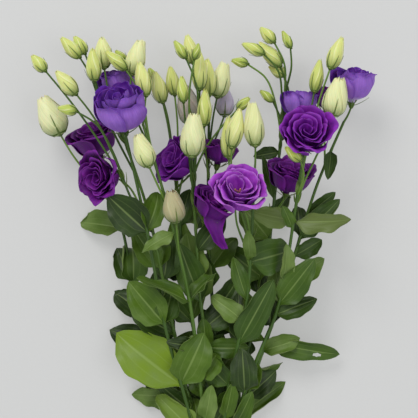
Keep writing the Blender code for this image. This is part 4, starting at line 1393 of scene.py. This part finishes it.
def bud_finish(name, shades, edge, foot=(110, 138, 52)):
    """Closed buds: green at the foot, streaked, with pale petal edges."""
    f = Finish(
        name,
        0.5,
        Specular_IOR_Level=0.3,
        Sheen_Weight=0.15,
        Subsurface_Weight=0.12,
        Subsurface_Scale=0.003,
    )
    u, v = f.coordinates("UVMap")
    shade, _ = f.coordinates("Tint")
    streaks = f.streaks(16.0, 1.2)
    apart = f.apart(u)
    colour = f.ramp(f.varied(shade, streaks, 0.16), *shades)
    low = f.ramp(v, (0, 1.0), (0.14, 0.66), (0.42, 0.12), (0.8, 0.0))
    green = f.maths("MULTIPLY", low, f.ramp(streaks, (0.3, 0.5), (0.65, 1.0)))
    colour = f.mix(green, colour, linear(*foot))
    rims = f.ramp(apart, (0.72, 0.0), (0.95, 1.0))
    pale = f.maths("MULTIPLY", rims, f.ramp(v, (0.1, 0.0), (0.6, 0.75)))
    colour = f.mix(pale, colour, linear(*edge))
    lines = f.ramp(streaks, (0.42, 0.0), (0.5, 0.5), (0.58, 0.0))
    colour = f.mix(f.maths("MULTIPLY", lines, 0.35), colour, linear(*foot))
    return f.done(colour, streaks, 0.0005, f.maths("MULTIPLY_ADD", streaks, 0.2, 0.4))


def petal_finish(name, face, deep, rim, back, throat, heart):
    """Velvety petals with fine veins, darker or paler rims, and paler backs."""
    f = Finish(
        name,
        0.6,
        Specular_IOR_Level=0.25,
        Sheen_Weight=0.2,
        Sheen_Roughness=0.4,
        Subsurface_Weight=0.1,
        Subsurface_Scale=0.002,
    )
    f.shader.inputs["Sheen Tint"].default_value = linear(*back)
    u, v = f.coordinates("UVMap")
    shade, side = f.coordinates("Tint")
    veins = f.streaks(26.0, 1.6)
    broad = f.streaks(4.0, 2.5)
    colour = f.mix(f.ramp(broad, (0.35, 0.0), (0.7, 1.0)), linear(*deep), linear(*face))
    colour = f.mix(f.maths("MULTIPLY", shade, 0.35), colour, linear(*deep))
    colour = f.mix(f.maths("MULTIPLY", side, 0.55), colour, linear(*back))
    apart = f.apart(u)
    edges = f.ramp(apart, (0.82, 0.0), (0.98, 1.0))
    border = f.maths("MAXIMUM", edges, f.ramp(v, (0.84, 0.0), (0.97, 1.0)))
    colour = f.mix(f.maths("MULTIPLY", border, 0.45), colour, linear(*rim))
    colour = f.mix(f.ramp(v, (0.06, heart), (0.34, 0.0)), colour, linear(*throat))
    lines = f.ramp(veins, (0.40, 0.0), (0.5, 1.0), (0.60, 0.0))
    colour = f.mix(f.maths("MULTIPLY", lines, 0.22), colour, linear(*deep))
    height = f.maths("ADD", veins, f.maths("MULTIPLY", broad, 1.5))
    return f.done(colour, height, 0.0006, f.maths("MULTIPLY_ADD", broad, 0.2, 0.5))


def stamen_finish():
    f = Finish("stamens_fine", 0.6)
    shade, _ = f.coordinates("Tint")
    grain = f.noise(1500.0)
    colour = f.ramp(
        f.varied(shade, grain, 0.2),
        (0.1, linear(120, 140, 80)),
        (0.4, linear(150, 120, 140)),
        (0.7, linear(150, 60, 40)),
        (0.95, linear(205, 160, 60)),
    )
    return f.done(colour, grain, 0.0003)


def band_finish():
    f = Finish("rubber_fine", 0.7, Specular_IOR_Level=0.3)
    grain = f.noise(900.0, 4.0)
    broad = f.noise(120.0)
    colour = f.mix(broad, linear(186, 148, 96), linear(158, 120, 72))
    return f.done(colour, grain, 0.0003, f.maths("MULTIPLY_ADD", grain, 0.2, 0.6))


def floor_finish():
    f = Finish("floor_fine", 0.85, Specular_IOR_Level=0.1, Emission_Strength=0.5)
    f.shader.inputs["Emission Color"].default_value = linear(*FLOOR_GLOW)
    grain = f.noise(300.0, 4.0)
    darker = linear(*[part - 6 for part in FLOOR_COLOUR])
    colour = f.mix(f.maths("MULTIPLY", grain, 0.5), linear(*FLOOR_COLOUR), darker)
    return f.done(colour, grain, 0.0002)


# --- the scene -----------------------------------------------------------------------------------


def dress(name, skin, finish, slot, node):
    """A visible piece that stands for a CAD node."""
    points, uv, tint = (np.vstack(parts) for parts in (skin.points, skin.uv, skin.tint))
    mesh = bpy.data.meshes.new(name)
    mesh.from_pydata((points * MM).tolist(), [], skin.faces)
    corners = np.empty(len(mesh.loops), np.int32)
    mesh.loops.foreach_get("vertex_index", corners)
    for layer, values in (("UVMap", uv), ("Tint", tint)):
        made = mesh.uv_layers.new(name=layer)
        made.uv.foreach_set("vector", values[corners].astype(np.float32).ravel())
    mesh.polygons.foreach_set("use_smooth", np.ones(len(mesh.polygons), bool))
    if skin.sharp:
        ends = np.empty(len(mesh.edges) * 2, np.int32)
        mesh.edges.foreach_get("vertices", ends)
        code = np.sort(ends.reshape(-1, 2), axis=1).astype(np.int64) @ (len(points), 1)
        wanted = np.sort(np.array(skin.sharp), axis=1).astype(np.int64) @ (len(points), 1)
        mesh.edges.foreach_set("use_edge_sharp", np.isin(code, wanted))
    mesh.update()
    mesh.materials.append(finish)
    obj = bpy.data.objects.new(name, mesh)
    bpy.context.scene.collection.objects.link(obj)
    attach(obj, "root")
    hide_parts(node)


def grow_stem(node, stem, grown, finishes):
    """Everything that is green, and the closed buds, in four pieces for one node."""
    draw = random.Random(node)
    lines, leaves, greens = Skin(), Skin(), Skin()
    buds = {}
    marks = [leaf.y for _, leaf in grown.leaves] + [head.fork for head in stem.heads if head.fork]
    for number, line in enumerate(grown.lines):
        path = resampled(line.path, LINE_SPACING)
        radii = np.interp(path[:, 1], line.path[:, 1], line.radii)
        if number == 0:
            swell = sum(np.exp(-(((path[:, 1] - y) / NODE_LENGTH) ** 2)) for y in marks)
            radii = radii * (1 + NODE_SWELL * np.minimum(swell, 1))
        lines.pipe(path, radii, 14 if number == 0 else 10, draw.uniform(0.3, 0.6))
    for name, path, head in grown.heads:
        base, way = head_base(head)
        line = resampled(stalk_line(path, head, base, way), 4.0)
        lines.pipe(line, np.linspace(*VISIBLE_STALK, len(line)), 9, draw.uniform(0.4, 0.9))
        if head.fork is not None:
            root, stem_way = point_at(path, head.fork)
            side = unit(np.cross(stem_way, np.cross(line[2] - line[0], stem_way)) + 1e-6)
            for sign in (1, -1):
                grow = unit(stem_way + 0.55 * sign * side)
                length = draw.uniform(11, 19)
                shade = draw.uniform(0.4, 0.7)
                lance(greens, root, grow, -side * sign, length, length * 0.30, 2.5, shade)
        if isinstance(head, Bud):
            fine_bud(buds.setdefault(head.tone, Skin()), greens, head, base, way, draw)
            continue
        low = base - way * (CALYX_HEIGHT + GAP)
        cup = [(1.2, -1.0), (2.4, 0.4), (3.4, 3.0), (CALYX_RADIUS, CALYX_HEIGHT)]
        greens.pipe(np.array([low + way * h for _, h in cup]), [r for r, _ in cup], 14, 0.5)
        start = draw.uniform(0, 6.3)
        frame = head_frame(way)
        for number in range(SEPALS):
            angle = start + 2 * math.pi * number / SEPALS
            out = outward(frame, angle)
            grow = unit(way * 0.42 + out)
            root = low + way * 3.5 + out * 2.8
            lance(greens, root, grow, way, draw.uniform(14, 20), 2.6, 4.5, 0.6)
    for path, leaf in grown.leaves:
        shade = leaf.shade if leaf.shade is not None else draw.uniform(0.0, 0.74)
        fine_leaf(leaves, point_at(path, leaf.y)[0], leaf, shade, draw)
    dress(f"{node}_stalks", lines, finishes["stem"], "leaf_green", node)
    dress(f"{node}_leaves", leaves, finishes["leaf"], "leaf_green", node)
    dress(f"{node}_sepals", greens, finishes["sepal"], "leaf_green", node)
    for tone, skin in buds.items():
        dress(f"{node}_{tone}s", skin, finishes[tone], "leaf_green", node)


def band_piece():
    """A flat rubber band with rounded edges and two shallow grooves."""
    skin = Skin()
    section = []
    for step in range(24):
        y = -BAND_HALF_WIDTH + 0.3 + (2 * BAND_HALF_WIDTH - 0.6) * step / 23
        section.append((y, GAP + BAND_WALL - 0.18 * (1 - math.cos(4 * math.pi * step / 23))))
    side = [
        (BAND_HALF_WIDTH, GAP + BAND_WALL - 0.5),
        (BAND_HALF_WIDTH, GAP + 0.4),
        (BAND_HALF_WIDTH - 0.3, GAP),
    ]
    section += side + [(-y, offset) for y, offset in reversed(side)]
    loop = [band_outline(offset, 10) for _, offset in section]
    count, around = len(loop[0]), len(section)
    points = [
        (loop[k][i][0], section[k][0], loop[k][i][1]) for i in range(count) for k in range(around)
    ]
    uv = [(k / around, i / count) for i in range(count) for k in range(around)]
    faces = []
    for i in range(count):
        for k in range(around):
            j, m = (i + 1) % count, (k + 1) % around
            faces.append((i * around + k, i * around + m, j * around + m, j * around + k))
    skin.add(np.array(points), np.array(uv), np.full((len(points), 2), 0.5), faces)
    return skin


def light(name, place, size, power, colour=(1, 1, 1)):
    """A round soft light that looks at the bunch."""
    lamp = bpy.data.lights.new(name, "AREA")
    lamp.shape = "DISK"
    lamp.size = size
    lamp.energy = power
    lamp.color = colour
    obj = bpy.data.objects.new(name, lamp)
    obj.location = place
    obj.rotation_euler = (Vector(LIT_POINT) - Vector(place)).to_track_quat("-Z", "Y").to_euler()
    bpy.context.scene.collection.objects.link(obj)


def stage():
    """The pale surface, the soft light and the camera above the blooms."""
    scene = bpy.context.scene
    mesh = bpy.data.meshes.new("floor")
    corners = [(-1, -1), (1, -1), (1, 1), (-1, 1)]
    points = [(x * FLOOR_REACH, y * FLOOR_REACH + FLOOR_CENTRE_Y, -FLOOR_DROP) for x, y in corners]
    mesh.from_pydata(points, [], [(0, 1, 2, 3)])
    mesh.materials.append(floor_finish())
    floor = bpy.data.objects.new("floor", mesh)
    scene.collection.objects.link(floor)
    world = bpy.data.worlds.new("soft_light")
    world.use_nodes = True
    back = world.node_tree.nodes["Background"]
    back.inputs["Color"].default_value = WORLD_COLOUR
    back.inputs["Strength"].default_value = WORLD_STRENGTH
    scene.world = world
    light("key", KEY_PLACE, KEY_SIZE, KEY_POWER, KEY_COLOUR)
    light("fill", FILL_PLACE, FILL_SIZE, FILL_POWER)
    lens = bpy.data.cameras.new("camera")
    lens.sensor_width = 36
    lens.lens = 36 * CAMERA_DISTANCE / VIEW_WIDTH
    camera = bpy.data.objects.new("camera", lens)
    camera.location = (VIEW_CENTRE[0], VIEW_CENTRE[1], VIEW_PLANE + CAMERA_DISTANCE)
    scene.collection.objects.link(camera)
    scene.camera = camera
    scene.view_settings.view_transform = "Standard"


def build():
    finishes = {
        "leaf": leaf_finish(),
        "sepal": leaf_finish(),
        "stem": stem_finish(),
        "bud": bud_finish("bud_fine", BUD_SHADES, (236, 232, 178)),
        "lilac_bud": bud_finish("lilac_bud_fine", LILAC_SHADES, (205, 190, 215), (150, 150, 130)),
        "grey_bud": bud_finish("grey_bud_fine", GREY_SHADES, (190, 178, 168), (120, 125, 90)),
        "beige_bud": bud_finish("beige_bud_fine", BEIGE_SHADES, (196, 186, 150), (110, 120, 70)),
    }
    petals = {
        tone: petal_finish(tone + "_fine", *colours) for tone, colours in PETAL_FINISH.items()
    }
    dress("band_rubber_loop", band_piece(), band_finish(), "band_rubber", "band")
    for (node, grown), stem in zip(arrange().items(), STEMS):
        grow_stem(node, stem, grown, finishes)
        for name, path, head in grown.heads:
            if isinstance(head, Bud):
                continue
            base, way = head_base(head)
            outer, heart = fine_flower(head, base, way, name)
            dress(f"{name}_petals", outer, petals[head.tone], head.tone, name)
            dress(f"{name}_heart", heart, petals[head.tone], head.tone, name)
            if head.tone == BRIGHT:
                dress(f"{name}_stamens", stamens(head, base, way), stamen_finish(), head.tone, name)
    stage()


build()
